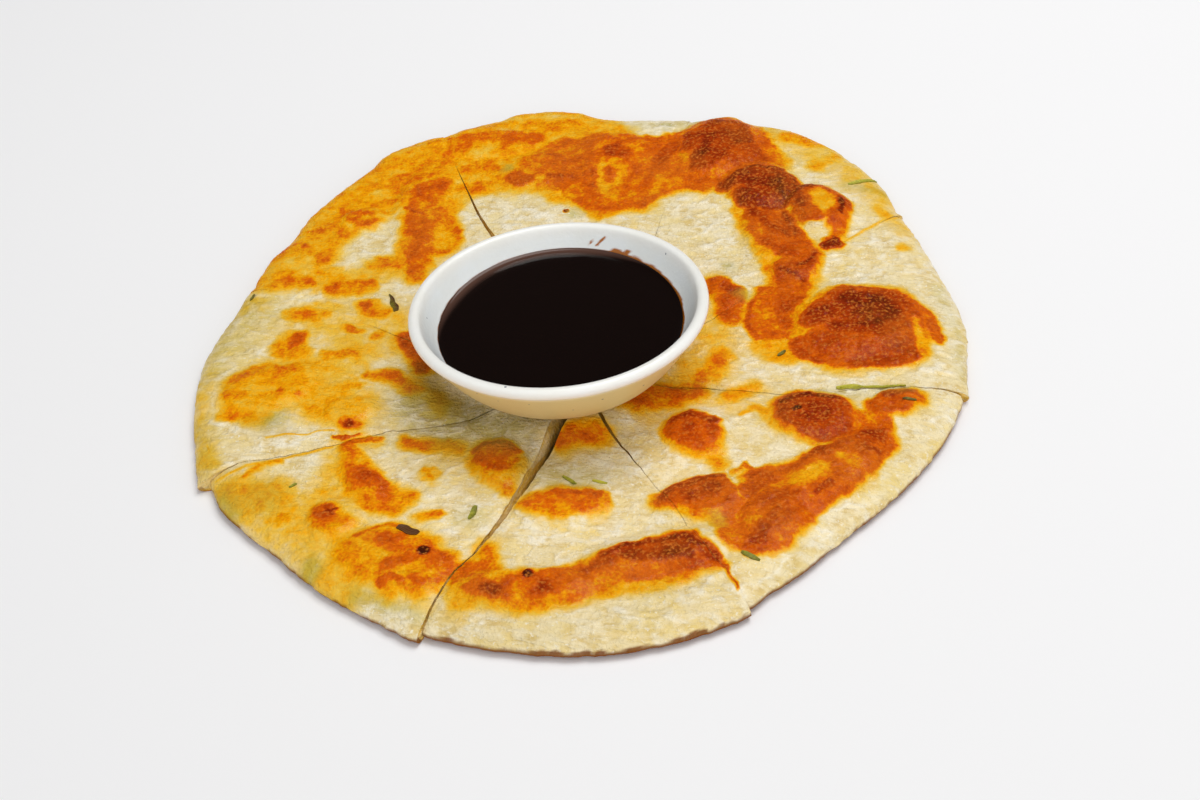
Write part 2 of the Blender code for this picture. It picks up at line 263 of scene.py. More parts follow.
@dataclass(frozen=True)
class Bubbles:
    """Round bubbles scattered over the pancake, one in each cell of a loose grid."""

    size: float
    seed: int = 0

    def at(self, x: Array, y: Array) -> tuple[Array, Array]:
        """The nearest bubble at each place.

        Args:
            x, y: Places in millimetres.

        Returns:
            The distance to its middle in cells, and that bubble's own value from 0 to 1.
        """
        x, y = x / self.size, y / self.size
        left, below = np.floor(x), np.floor(y)
        best, own = np.full(x.shape, 9.0), np.zeros(x.shape)
        flat = np.zeros(x.shape, np.uint32)
        for dx in (-1, 0, 1):
            for dy in (-1, 0, 1):
                ix = (left + dx).astype(np.int64).astype(np.uint32)
                iy = (below + dy).astype(np.int64).astype(np.uint32)
                shifts = [Grain.corner(ix, iy, flat, self.seed + k) * 0.4 for k in (1, 2)]
                away = np.hypot(left + dx + 0.5 + shifts[0] - x, below + dy + 0.5 + shifts[1] - y)
                own = np.where(away < best, Grain.corner(ix, iy, flat, self.seed + 3) / 2 + 0.5, own)
                best = np.minimum(best, away)
        return best, own


@dataclass(frozen=True)
class SmoothCurve:
    """A smooth curve through (place, value) knots in rising order, flat beyond their ends."""

    knots: tuple[Place, ...]

    def at(self, places: Array) -> Array:
        """The curve's values.

        Args:
            places: Where to read it.

        Returns:
            One value for each place.
        """
        xs, ys = np.array(self.knots).T
        last = len(xs) - 1
        places = np.clip(places, xs[0], xs[-1])
        k = np.clip(np.searchsorted(xs, places, side="right") - 1, 0, last - 1)
        before, after = np.maximum(k - 1, 0), np.minimum(k + 2, last)
        width = xs[k + 1] - xs[k]
        share = (places - xs[k]) / width
        slope_low = (ys[k + 1] - ys[before]) / (xs[k + 1] - xs[before])
        slope_high = (ys[after] - ys[k]) / (xs[after] - xs[k])
        lift = share * (1.0 - share) ** 2 * slope_low - share**2 * (1.0 - share) * slope_high
        return mix(ys[k], ys[k + 1], ease(share)) + lift * width


@dataclass(frozen=True)
class CutLine:
    """A knife cut from the hub out through its points: wide at the hub, narrow from where it closes.

    How far it was pressed open says how deep its sides dip.
    """

    points: tuple[Place, ...]
    wide: float
    narrow: float
    closes: float
    dip: float = 0.5

    @property
    def curve(self) -> SmoothCurve:
        """The cut's turn at each distance from the hub."""
        turns, distances = around_hub(*np.array(self.points, float).T)
        return SmoothCurve(tuple(sorted(zip(distances, turns))))

    def half_angle(self, distance: Array) -> Array:
        """Half of the cut's width, as a turn about the hub."""
        half = mix(self.narrow, self.wide, np.maximum(0.0, 1.0 - distance / self.closes)) / 2
        return np.arcsin(np.minimum(1.0, half / distance))


@dataclass(frozen=True)
class Blister:
    """A blister that met the pan: middle, half sizes, turn in degrees and rise."""

    x: float
    y: float
    long: float
    wide: float
    turn: float
    rise: float

    def height(self, x: Array, y: Array) -> Array:
        """How far the blister stands above the skin.

        Args:
            x, y: Places in millimetres.

        Returns:
            Its rise at each place.
        """
        cosine, sine = math.cos(math.radians(self.turn)), math.sin(math.radians(self.turn))
        along = (x - self.x) * cosine + (y - self.y) * sine
        aside = (y - self.y) * cosine - (x - self.x) * sine
        return self.rise * ease(1.35 - (along / self.long) ** 2 - (aside / self.wide) ** 2)


@dataclass(frozen=True)
class Patch:
    """A patch of one tone: a chain of discs (x, y, radius) with a soft border."""

    tone: float
    soft: float
    discs: tuple[Disc, ...]
    lay: Lay = Lay.DEEPENS

    def over(self, under: Array, x: Array, y: Array, spread: Array) -> Array:
        """The tones with the patch laid over them.

        Args:
            under: The tones so far.
            x, y: Places in millimetres.
            spread: How much softer than usual the border is at each place.

        Returns:
            The new tones.
        """
        xs, ys, radii = np.array(self.discs).T
        reach = 2.0 * self.soft
        near = (x > (xs - radii).min() - reach) & (x < (xs + radii).max() + reach)
        near &= (y > (ys - radii).min() - reach) & (y < (ys + radii).max() + reach)
        x, y, gap = x[near], y[near], 1e3
        for (ax, ay, ar), (bx, by, br) in zip(self.discs, self.discs[1:] or self.discs):
            run = max((bx - ax) ** 2 + (by - ay) ** 2, 1e-6)
            along = np.clip(((x - ax) * (bx - ax) + (y - ay) * (by - ay)) / run, 0.0, 1.0)
            away = np.hypot(x - mix(ax, bx, along), y - mix(ay, by, along))
            gap = np.minimum(gap, away - mix(ar, br, along))
        share = ease(0.7 - gap / (self.soft * spread[near]))
        tones = under.copy()
        if self.lay is Lay.COVERS:
            tones[near] = mix(under[near], self.tone, share)
        else:
            tones[near] = np.maximum(under[near], self.tone * share)
        return tones


def spot(tone: float, soft: float, *discs: Disc) -> Patch:
    """A patch that deepens what lies under it."""
    return Patch(tone, soft, discs)


def cover(tone: float, soft: float, *discs: Disc) -> Patch:
    """A patch that covers what lies under it."""
    return Patch(tone, soft, discs, Lay.COVERS)


@dataclass(frozen=True)
class Fleck:
    """A flake of scallion: middle, length, width, turn, greenness, how proud and how pointed it is."""

    x: float
    y: float
    long: float
    wide: float
    turn: float
    green: float
    proud: float = 0.45
    point: float = 0.0


# Dried drops on the bowl's inner wall: turn in degrees, low and high end above the sauce, half width
STAIN_DROPS = (
    (70.0, 1.0, 3.6, 0.7),
    (73.5, 1.2, 2.4, 0.5),
    (61.0, 0.1, 1.3, 2.4),
    (56.0, 0.1, 1.7, 1.6),
    (50.0, 0.1, 0.9, 2.4),
)

CUTS = (
    CutLine(((20, -29.5), (40, -33), (55, -37), (70, -37.5), (85, -39), (101, -41.5)), 0.5, 0.12, 60, 0.25),
    CutLine(((49, 5), (60, 12.5), (78, 25), (87, 30), (100, 39.5)), 0.5, 0.03, 60, 0.10),
    CutLine(((26, 39), (35, 71), (39.5, 89), (42.5, 101)), 0.5, 0.0, 90, 0.03),
    CutLine(((-22.5, 46), (-26, 56), (-31, 75), (-32.5, 81), (-38, 104)), 3.2, 0.0, 122, 0.2),
    CutLine(((-48, 1), (-58, 9), (-68, 15), (-79, 25), (-95, 33)), 1.1, 0.0, 75, 0.12),
    CutLine(((-40, -36), (-52, -36), (-60, -38), (-79, -41), (-90, -42), (-98, -46)), 0.6, 0.2, 60, 0.30),
    CutLine(((-6, -40), (-12.5, -53), (-20, -67.5), (-27, -79), (-35, -89), (-43, -105)), 4.8, 0.5, 62, 0.45),
    CutLine(((5, -42), (9, -50), (17, -67), (25, -86), (31, -97), (34.6, -107)), 1.4, 0.1, 34, 0.30),
)

# Each slice lies between its own cut and the next, and its edge runs anticlockwise.
EDGES = {
    "slice_1": ((101, -40), (103, -30), (106, -17), (106, -3), (104, 11), (99.2, 37.6)),
    "slice_2": ((98.3, 41.2), (97, 53), (87, 75), (81, 83), (72, 91), (62, 96), (56, 101.5), (44, 100.5)),
    "slice_3": ((41, 102), (30, 104), (22, 105), (13, 108), (7, 112.5), (-2, 115), (-13, 115),
                (-20, 112), (-30, 109), (-37, 105)),
    "slice_4": ((-38, 105), (-43, 105), (-50, 102), (-57, 97.5), (-61, 91), (-70, 81), (-80, 67),
                (-85, 55), (-90, 48), (-94, 35)),
    "slice_5": ((-96, 31), (-98, 24), (-102, 14), (-105, 4), (-106, -5), (-104, -32), (-102, -45)),
    "slice_6": ((-98.5, -46), (-95, -55), (-90, -62), (-80, -73), (-62, -92), (-53, -99), (-45, -105)),
    "slice_7": ((-42, -104), (-30, -109), (-14, -113.5), (0, -115), (13, -113.5), (16, -111.5),
                (30, -106.3), (34.3, -104)),
    "slice_8": ((35, -105.5), (42, -100.5), (60, -87), (70, -79), (80, -70), (90, -58.5), (99, -43)),
}

BLISTERS = (
    Blister(78, -9, 19, 16, 0, 1.7),
    Blister(59, -46, 11, 10, 0, 1.5),
    Blister(81, -45, 7, 6, 0, 1.1),
    Blister(61, -66, 17, 8, 42, 1.3),
    Blister(44, -80, 8, 9, 0, 1.1),
    Blister(27, -72, 12, 8, 10, 1.4),
    Blister(29, -48, 9, 8, 0, 1.5),
    Blister(14, -88, 18, 7, 8, 1.7),
    Blister(-18, -95, 17, 6, -4, 1.5),
    Blister(-7, -70, 12, 7, 5, 1.0),
    Blister(-22, -52, 7, 9, 0, 1.3),
    Blister(-50, -82, 15, 10, -35, 1.1),
    Blister(-64, -66, 7, 7, 0, 1.2),
    Blister(-58, -50, 13, 5, 110, 0.9),
    Blister(-85, -14, 14, 9, 20, 1.1),
    Blister(-62, -26, 7, 5, 0, 0.9),
    Blister(-44, 62, 24, 9, 80, 1.0),
    Blister(-62, 60, 7, 6, 0, 0.9),
    Blister(-25, 97, 18, 9, -12, 0.9),
    Blister(-8, 78, 13, 9, 0, 0.9),
    Blister(16, 82, 13, 12, 0, 1.0),
    Blister(50, 81, 13, 16, -10, 2.0),
    Blister(60, 58, 12, 11, -40, 1.9),
    Blister(75, 44, 9, 12, 20, 2.1),
    Blister(57, 33, 6, 14, 0, 1.1),
    Blister(65, 18, 8, 7, 0, 1.1),
    Blister(44, 9, 6, 8, 0, 0.8),
)

# The golden washes under the browned patches
WASHES = (
    spot(0.4, 7, (-88, 37, 7), (-79, 48, 11), (-71, 62, 12), (-58, 76, 15), (-42, 84, 17),
         (-22, 92, 18), (-2, 90, 17), (8, 92, 14)),
    spot(0.38, 6, (-90, 48, 3), (-78, 68, 3), (-60, 92, 3), (-38, 104, 3), (-14, 112, 3), (0, 112, 3),
         (16, 106, 3)),
    spot(0.35, 7, (-84, 34, 4), (-68, 32, 5), (-52, 34, 5)),
    spot(0.38, 5, (-74, 56, 6), (-62, 66, 6), (-50, 70, 6), (-34, 90, 8), (-24, 92, 8)),
    spot(0.4, 5, (-46, 32, 5), (-45, 46, 6), (-44, 60, 8), (-36, 74, 9), (-22, 76, 7), (-6, 71, 6),
         (4, 62, 5)),
    spot(0.38, 3, (-35, 62, 4), (-30, 70, 4), (-24, 76, 4)),
    spot(0.34, 9, (-93, -12, 6), (-84, -11, 9), (-72, -14, 10), (-63, -25, 8)),
    spot(0.28, 9, (-86, 12, 5), (-72, 14, 9), (-62, 6, 10), (-54, -6, 8), (-50, 8, 5)),
    spot(0.16, 8, (-40, -50, 4), (-34, -58, 3)),
    spot(0.3, 9, (-62, -38, 5), (-62, -54, 8), (-70, -66, 9), (-62, -80, 11), (-48, -90, 9)),
    spot(0.36, 8, (-90, -52, 4), (-82, -57, 7), (-76, -66, 6)),
    spot(0.46, 6, (0, 78, 14), (14, 76, 19), (30, 76, 12)),
    spot(0.27, 9, (70, 86, 6), (79, 76, 7), (87, 62, 5), (94, 46, 4), (98, 30, 3)),
    spot(0.3, 8, (42, 6, 4), (37, -12, 7), (31, -26, 7), (16, -35, 5)),
    spot(0.28, 7, (40, -37, 4), (46, -34, 3)),
    # partly painted shade: this wash also darkens the skin in the bowl's shadow
    spot(0.32, 8, (-45, -16, 2), (-38, -28, 3)),
    spot(0.28, 8, (-92, 24, 4), (-98, 14, 4), (-101, 0, 2)),
    spot(0.26, 7, (-97, 12, 3), (-103, -8, 3), (-103, -30, 3), (-97, -46, 3), (-90, -60, 3)),
)

# The browning over them: tone, softness and discs
TOASTS = (
    # Right: the great dome, its lighter lobe and the mottling beside it
    spot(0.46, 3.6, (62, -9, 6), (74, -5, 8.4), (84, -6, 9), (90, -14, 7.5), (86, -22, 8.4),
         (72, -20.5, 9.4), (62, -19, 5)),
    spot(0.68, 2.4, (66, -9, 5), (75, -5, 7.5), (84, -6, 8), (88, -13, 6.5), (84, -22, 8.5),
         (72, -20, 9), (61, -19, 4.5)),
    spot(0.8, 5, (66, -9, 4), (74, -9, 6), (83, -8, 6), (80, -16, 4), (71, -14, 3.4)),
    spot(0.92, 5, (76, -2, 3.4), (83, -5, 4.4), (85, -11, 4), (79, -14, 3)),
    spot(0.98, 4, (81, -9, 2)),
    spot(0.6, 1.8, (92, -6, 1.8), (96, -13, 2), (97, -21, 1.8)),
    cover(0.42, 1.8, (91, -15, 0.8), (92, -22, 1.4), (91, -27, 1.2)),
    spot(0.56, 3.6, (56, 3, 6), (55, -4, 6.5), (54, -11, 5)),
    spot(0.68, 3, (49.5, 2, 1), (48.5, -5, 1.2), (50, -12, 1.2)),
    spot(0.66, 3, (58, -2, 2.4), (57, -10, 1.6)),
    spot(0.42, 4, (50, -16, 3.4), (57, -21, 3.4)),
    spot(0.46, 5, (38, -19, 3), (34, -26, 2.6), (28, -31, 2.4)),
    spot(0.42, 3.6, (40, -34, 2.4), (46, -32, 2)),
    # partly painted shade: browning that also darkens the skin in the bowl's shadow
    spot(0.56, 5, (12, -34, 4), (22, -34, 5), (30, -33, 3)),
    # Front right: the round patches and the long band
    spot(0.48, 4, (57, -45, 9), (61, -48, 9)),
    spot(0.72, 2.4, (57, -45, 7.6), (61, -48, 7.6)),
    spot(0.8, 5, (60, -46, 5)),
    spot(0.9, 1.6, (52, -41, 0.8), (59, -38.5, 1), (66, -42, 0.8)),
    spot(0.62, 3, (77, -46, 4), (84, -43.5, 4.2)),
    spot(0.78, 2, (79, -42, 1.4), (85, -41.5, 1.4)),
    spot(0.56, 3, (66, -52, 5), (75, -50, 3.4), (74, -57, 4.4)),
    spot(0.58, 3, (73, -59, 5), (65, -64, 7.5), (57, -70, 7.5), (49, -76, 8), (42, -83, 7.5), (39, -87, 4)),
    spot(0.66, 3.6, (42, -67, 3), (52, -66, 4), (62, -61, 4), (72, -56, 3.4)),
    spot(0.78, 3, (70, -55, 1.4), (74, -57, 2.4)),
    spot(0.72, 3, (66, -58, 1.4), (60, -60, 2.4), (55, -62, 1.6)),
    cover(0.42, 4, (50, -69, 1.6), (57, -67, 2.2)),
    cover(0.44, 3.4, (63, -63, 1.2), (66, -66, 1.6)),
    spot(0.76, 3, (59, -72, 1.6), (55, -75, 1)),
    spot(0.76, 3, (69, -60, 1.4), (73, -63, 1)),
    spot(0.7, 4, (45, -79, 1.4), (39, -86, 2.6)),
    spot(0.72, 3, (39, -72, 2.4), (43, -69, 1.6)),
    spot(0.5, 1.4, (36, -65, 0.6), (39, -62.5, 0.8), (42, -64, 0.6)),
    spot(0.5, 3.4, (17, -71.5, 3.4), (24, -72, 6), (31, -73, 6.5), (32, -79, 4)),
    spot(0.62, 2.2, (19, -71, 2.6), (25, -71, 5), (32, -71.5, 5)),
    spot(0.76, 2.2, (17, -71, 1), (22, -68, 1.4), (27, -66.6, 1.4), (33, -67, 1.2)),
    spot(0.74, 3.6, (24, -71, 2.4), (31, -71, 2.4)),
    spot(0.54, 3.6, (36, -76, 3.4), (33, -84, 3.4), (38, -88, 3)),
    spot(0.46, 3.6, (26, -47, 6.5), (29, -51, 6.5)),
    spot(0.6, 2.4, (26, -47, 5.4), (29, -50.5, 5.4)),
    spot(0.76, 2.4, (23, -44, 1.2), (28, -42.6, 1.2), (33, -45.5, 1)),
    spot(0.72, 3, (27, -47, 2.4)),
    spot(0.4, 3, (32, -58, 2), (33, -62, 1.6)),
    spot(0.4, 1.6, (41, -42, 0.8), (45, -40, 0.9), (48, -43, 0.8)),
    # Front: the browned crest above the pale margin
    spot(0.44, 4, (-31, -95, 5), (-22, -95.5, 5.5), (-10, -97, 5.5), (2, -95.5, 6), (13, -93.5, 6.5),
         (23, -92, 4), (29, -94, 2)),
    spot(0.59, 3.4, (-29, -94.5, 3.4), (-22, -96, 3.4), (-11, -95.5, 4), (2, -93, 4.6), (13, -91, 5.5),
         (23, -89.5, 4), (29, -93, 1.6)),
    spot(0.76, 3, (-3, -92.5, 1.6), (6, -88.5, 2.4), (14, -86.5, 2.6), (23, -86.5, 2), (29, -91, 1.2)),
    spot(0.84, 3.4, (7, -90, 2), (14, -89, 2.4), (22, -89.5, 2.2)),
    spot(0.9, 1.5, (1, -90, 0.5), (8, -86.5, 0.8), (14, -85.4, 0.9), (21, -85.4, 0.9), (26, -87.4, 0.6)),
    spot(0.74, 1.3, (27, -88, 0.5), (30, -94, 0.4), (33, -102, 0.2)),
    spot(0.82, 3.6, (-26, -96, 2.8)),
    spot(0.78, 3.6, (-12, -96, 2.4)),
    cover(0.44, 3, (-19, -98, 1.6), (-18, -93, 0.8)),
    cover(0.48, 3, (-6, -98.5, 1.6), (2, -98, 1.6)),
    spot(0.52, 3.4, (-26, -82, 2.6), (-26, -88, 3.6), (-32, -89, 4)),
    spot(0.48, 3.4, (-16, -68.5, 3), (-7, -69.5, 6), (1, -70.5, 4)),
    spot(0.54, 3, (-13, -67, 2), (-3, -68.5, 3), (1, -71, 2)),
    spot(0.68, 2.4, (-8, -66, 1.2), (2, -67.5, 1)),
    spot(0.54, 4, (-5, -45.5, 3.2), (2, -46, 3.6)),
    # Front left
    spot(0.42, 3.6, (-24, -50, 6.2), (-21.5, -54, 5.6)),
    spot(0.55, 2.6, (-24, -49.5, 4.6), (-21.5, -52, 4.4)),
    spot(0.68, 2, (-28, -48.5, 0.8), (-25, -46, 1.2), (-20, -46.5, 1.2), (-17.6, -50, 0.8)),
    spot(0.44, 2.6, (-23, -58, 2.6), (-21, -63, 1.6)),
    spot(0.46, 3.6, (-46, -41, 2.2), (-40, -43, 3), (-33, -46, 2.4)),
    spot(0.36, 2.6, (-41, -54, 3)),
    spot(0.5, 2, (-42, -52.5, 1.2), (-40.5, -56, 0.9)),
    spot(0.44, 2.6, (-42, -69, 1.4), (-38, -69, 1.4)),
    spot(0.46, 4, (-62.5, -41, 3), (-60, -49, 4.4), (-55, -58, 5), (-48, -63, 4)),
    spot(0.54, 4, (-62, -43, 1.6), (-60, -50, 2.8), (-54, -56, 3), (-49, -60, 2.4)),
    spot(0.62, 3, (-57, -52, 1.4), (-52, -56, 1.6)),
    spot(0.52, 1.8, (-64, -39.5, 1), (-58, -39, 1.4), (-53, -38.8, 1)),
    spot(0.52, 2.4, (-60, -58, 1.8)),
    spot(0.46, 4, (-66, -64, 4.6), (-63, -69, 4)),
    spot(0.64, 3, (-66, -63.5, 2.8)),
    spot(0.46, 3, (-77, -64, 2.4)),
    spot(0.42, 7, (-62, -71, 3), (-61, -78, 4), (-55, -84, 5), (-47, -89, 5), (-42, -93, 3)),
    spot(0.52, 6, (-55, -74, 3), (-49, -76, 5), (-43, -81, 5), (-40, -88, 5)),
    spot(0.68, 4, (-52, -76, 2.4), (-48, -76, 2.2)),
    spot(0.62, 4, (-45, -84, 2.4), (-51, -86, 2)),
    spot(0.6, 3, (-43, -90, 1.8)),
    spot(0.62, 2.2, (-58, -73.5, 0.8), (-53, -70.5, 0.9), (-47, -71.5, 0.8)),
    spot(0.6, 4, (-37, -84, 3.2), (-35, -88, 2)),
    spot(0.64, 2, (-52, -90, 0.9), (-49, -88.5, 1), (-46, -90, 0.9)),
    spot(0.44, 1.4, (-88, -47.5, 0.7), (-85, -44, 0.8), (-80, -43.4, 0.7)),
    # Left
    spot(0.42, 5, (-95, -17, 3.4), (-92, -10, 4.5), (-85, -9, 5.5), (-79, -11, 5), (-79, -17, 4),
         (-88, -18, 4.6)),
    spot(0.5, 3.4, (-95, -16.5, 2.2), (-89, -17.5, 2.2), (-84, -17, 1.2), (-77, -17.6, 1.2)),
    spot(0.46, 3, (-92, -6, 1), (-86, -4.4, 1.2), (-79, -7, 1.6)),
    spot(0.46, 5, (-81, 4, 5), (-78, -1, 3.4)),
    spot(0.6, 4.4, (-80, 4.6, 3)),
    spot(0.4, 4, (-95, -22, 3), (-86, -25, 2.5)),
    spot(0.38, 6, (-75, -19, 4), (-68, -25, 5), (-61, -31, 4)),
    spot(0.54, 2.6, (-61.5, -32, 3)),
    spot(0.66, 1.2, (-67, -36.4, 0.4), (-63, -37.2, 0.6), (-59, -36.4, 0.4)),
    spot(0.42, 4, (-70, -3, 1.6), (-60, -4, 1.8)),
    spot(0.5, 4, (-58, -13, 1.4), (-50, -15.4, 2.4), (-44, -21, 2.2)),
    spot(0.46, 3, (-66, -17, 1.4), (-60, -17.6, 1.6)),
    spot(0.62, 4.4, (-48, 1, 2.6), (-45.5, -5, 3), (-43, -11, 2)),
    spot(0.46, 4.4, (-80, 17.6, 3.6), (-74, 16, 3.8)),
    spot(0.56, 3.6, (-79, 17.8, 2), (-75, 16.8, 2)),
    spot(0.46, 4.4, (-59, 17.6, 3.8), (-54.5, 14, 3)),
    spot(0.56, 3.2, (-59, 18, 2.2)),
    spot(0.48, 4, (-65, 8.5, 2), (-62, 7, 1.6)),
    spot(0.52, 3.4, (-56.5, 4, 2)),
    # Back left: gold with the deep orange band
    spot(0.46, 4, (-87, 36, 2.8), (-76, 30, 2.4)),
    spot(0.58, 2.4, (-77, 30.5, 1.2)),
    spot(0.5, 4, (-69, 28, 3), (-60, 28, 3.2)),
    spot(0.62, 2.8, (-68, 28.5, 1.4)),
    spot(0.58, 2.8, (-61, 28.5, 1.4)),
    spot(0.42, 5, (-80, 46, 4), (-73, 50, 5), (-72, 42, 4)),
    spot(0.6, 2.8, (-79, 50, 1.4)),
    spot(0.46, 4, (-58, 38, 3), (-51, 38, 3.6)),
    spot(0.52, 3.4, (-62, 60, 4.6)),
    cover(0.4, 2.6, (-62, 60, 1.2)),
    spot(0.53, 4.4, (-45, 30, 3.4), (-44, 42, 5), (-45, 52, 5), (-46, 61, 4), (-42, 70, 6), (-38, 74, 4)),
    spot(0.47, 4.4, (-37, 42, 3.4), (-36, 50, 4), (-39, 58, 5)),
    spot(0.59, 5, (-46, 50, 3), (-43, 40, 3)),
    spot(0.7, 1.8, (-50, 62.5, 0.8), (-44, 59.5, 0.8)),
    spot(0.47, 5.4, (-60, 77, 3.4), (-52, 78, 4.5), (-44, 82, 6), (-37, 87, 6), (-30, 96, 4.4)),
    spot(0.5, 5, (-34, 98, 3), (-22, 98.5, 4), (-8, 96, 4)),
    spot(0.52, 5, (-40, 84, 2.4), (-27, 97, 2.6)),
    spot(0.62, 3.4, (-15, 72.5, 3), (-11, 72, 2.6)),
    spot(0.72, 3, (-4, 73.5, 1.6), (-1, 72.5, 1)),
    # Back right: the orange field, the dark ridge and the blackened crescent
    spot(0.55, 4, (0, 80, 7), (4, 66, 6.5), (12, 58, 7), (21, 59, 6.5), (30, 64, 6), (37, 66, 4.5)),
    spot(0.52, 4, (2, 88, 7), (14, 84, 11), (26, 80, 11), (34, 76, 8), (34, 86, 5)),
    spot(0.53, 4, (12, 70, 9), (28, 70, 9)),
    spot(0.68, 4.4, (15, 84, 3.4), (19, 81, 3.2), (18, 87, 2)),
    spot(0.62, 5, (6, 64, 2.4), (8, 72, 3.4)),
    spot(0.62, 5, (25, 63, 3.4), (30, 74, 3), (35, 82, 3.4)),
    cover(0.38, 2.2, (11, 76, 0.7), (15, 78, 0.8), (18.5, 74, 1), (17, 68, 0.8), (12, 67, 0.8),
          (11, 76, 0.7)),
    cover(0.38, 2.4, (13, 64, 1.2), (15, 60, 1)),
    spot(0.6, 2.4, (14.5, 72, 1.8)),
    spot(0.56, 4, (39, 88, 4), (46, 92, 5), (54, 93, 5), (60, 87, 4.5), (62, 78, 5), (66, 70, 4),
         (58, 70, 6), (42, 64, 6)),
    spot(0.76, 3, (40, 80, 2.6), (43, 87, 4.6), (50, 90.5, 4.6), (56, 88, 4.2), (57, 81, 4),
         (48, 80, 7), (44, 71, 5)),
    spot(0.68, 3.4, (52, 72, 5), (60, 74, 4.4)),
    spot(0.9, 5, (44, 76, 2.6), (47, 85, 3.2)),
    spot(0.84, 3, (50, 59, 3.4), (56, 61, 4.6), (63, 60, 5), (67, 53, 5), (62, 48, 5), (54, 52, 3.6)),
    spot(0.95, 5, (57, 58, 3), (64, 57, 3.4), (66, 50, 2.4)),
    spot(0.9, 1.8, (49, 60.5, 0.6), (53, 65, 0.8), (59, 66, 0.9), (66, 64, 0.8), (71, 57, 0.8)),
    spot(0.6, 3, (70, 53, 3), (76, 49, 4), (81, 43, 3.4), (80, 35, 3), (76, 27, 2.4)),
    spot(0.62, 3.4, (70, 48, 4), (71, 40, 4), (74, 37, 3)),
    spot(0.94, 1.3, (70, 55.6, 1), (74, 52.8, 1), (78, 48.8, 1.1), (80.6, 43.4, 1.1), (81.2, 37, 0.7)),
    cover(0.36, 1.8, (75.4, 50, 1.4), (77, 45, 3), (77, 41, 1.4)),
    cover(0.1, 1.8, (71.5, 33.5, 1.6), (74, 31, 2.6), (72, 28.5, 1.2)),
    spot(0.92, 1.8, (77, 26, 1.5), (73, 24, 0.9)),
    spot(0.84, 2, (69, 21.5, 1), (65, 17, 1)),
    spot(0.44, 4, (56, 48, 6), (59, 36, 7), (63, 24, 8), (63, 12, 7), (59, 2, 7)),
    spot(0.8, 3, (69, 51, 2.4), (70, 44, 1.8)),
    spot(0.63, 3, (57, 46, 4.6), (60, 37, 6.6), (62, 30, 7), (65, 22, 6), (63, 14, 5), (62, 6, 4.6),
         (58, 1, 5)),
    spot(0.78, 3, (55, 46, 1.6), (58, 38, 1.8), (63, 31, 1.6)),
    spot(0.8, 2.4, (64, 42, 1), (66, 35, 0.8), (65, 29, 0.6)),
    spot(0.8, 2.6, (60, 16, 1), (64, 13, 1), (66, 9, 0.8)),
    spot(0.58, 3.4, (40, 12, 3), (43, 5, 4.4), (43, -2, 3.6)),
    spot(0.72, 2.8, (42, 10, 1.8), (46, 7, 1.4)),
    spot(0.42, 5, (78, 79, 3.6), (72, 83, 3.2)),
    spot(0.4, 5, (79, 67, 3), (84, 71, 2)),
    spot(0.3, 5, (92, 42, 1.6), (94, 36, 1.6)),
    spot(0.36, 3, (95, 21, 1.6)),
)

# The pale windows that never met the pan
WINDOWS = (
    cover(0.04, 6, (-63, 44, 3), (-58, 49, 4.4), (-54, 53, 2)),
    cover(0.04, 2, (-30.5, 52, 2.4), (-29.5, 57, 1)),
    cover(0.03, 2, (-22.5, 61, 3), (-19, 55, 6), (-12, 53, 5), (-5, 50, 4)),
    cover(0.05, 5, (36, 48, 8), (41, 36, 8), (42, 22, 8), (49, 16, 3)),
    cover(0.04, 5, (-75, -36, 3), (-68, -35, 1)),
    cover(0.05, 5, (-53, -48, 3), (-48, -54, 3)),
    cover(0.05, 6, (-40, -60, 4), (-32, -70, 4)),
    cover(0.03, 3, (-55, -97, 2.4), (-46, -102, 2.4)),
    cover(0.17, 7, (-88, 12, 4), (-98, 12, 4), (-98, 0, 3)),
    cover(0.06, 3.4, (-54, -9, 1.4), (-46, -10, 1.6)),
)

# Torn and milky skin, whiter than the rest
MILKS = (
    spot(1, 2.4, (-82, -35.6, 1.4), (-76, -36, 2.2), (-70, -35.6, 1.6)),
    spot(0.8, 3, (-48, -32, 1.4), (-42, -34, 1.8)),
    spot(0.8, 4, (-57, -96, 2.4), (-48, -102, 2.6)),
    spot(0.6, 5, (-34, -103, 3), (-20, -105, 3.4)),
    spot(0.5, 6, (0, -105, 4), (20, -101, 4)),
    spot(0.7, 5, (-30, 56, 2.4), (-18, 58, 5), (-6, 53, 2.4)),
    spot(0.6, 5, (-59, 48, 4)),
    spot(0.7, 6, (34, 52, 5), (44, 44, 5), (44, 28, 4)),
    spot(0.6, 6, (34, -26, 3), (48, -26, 4), (60, -30, 3)),
    spot(0.6, 5, (44, -50, 4), (46, -58, 3)),
    spot(0.6, 5, (-38, -56, 5), (-32, -66, 4)),
    spot(0.6, 4, (10, -56, 4), (2, -78, 5), (-14, -80, 4)),
    spot(0.5, 5, (74, 9, 3), (84, 14, 3)),
    spot(0.5, 5, (-88, -32, 4), (-96, -30, 3)),
    spot(0.7, 3, (74, 33, 1.6)),
)
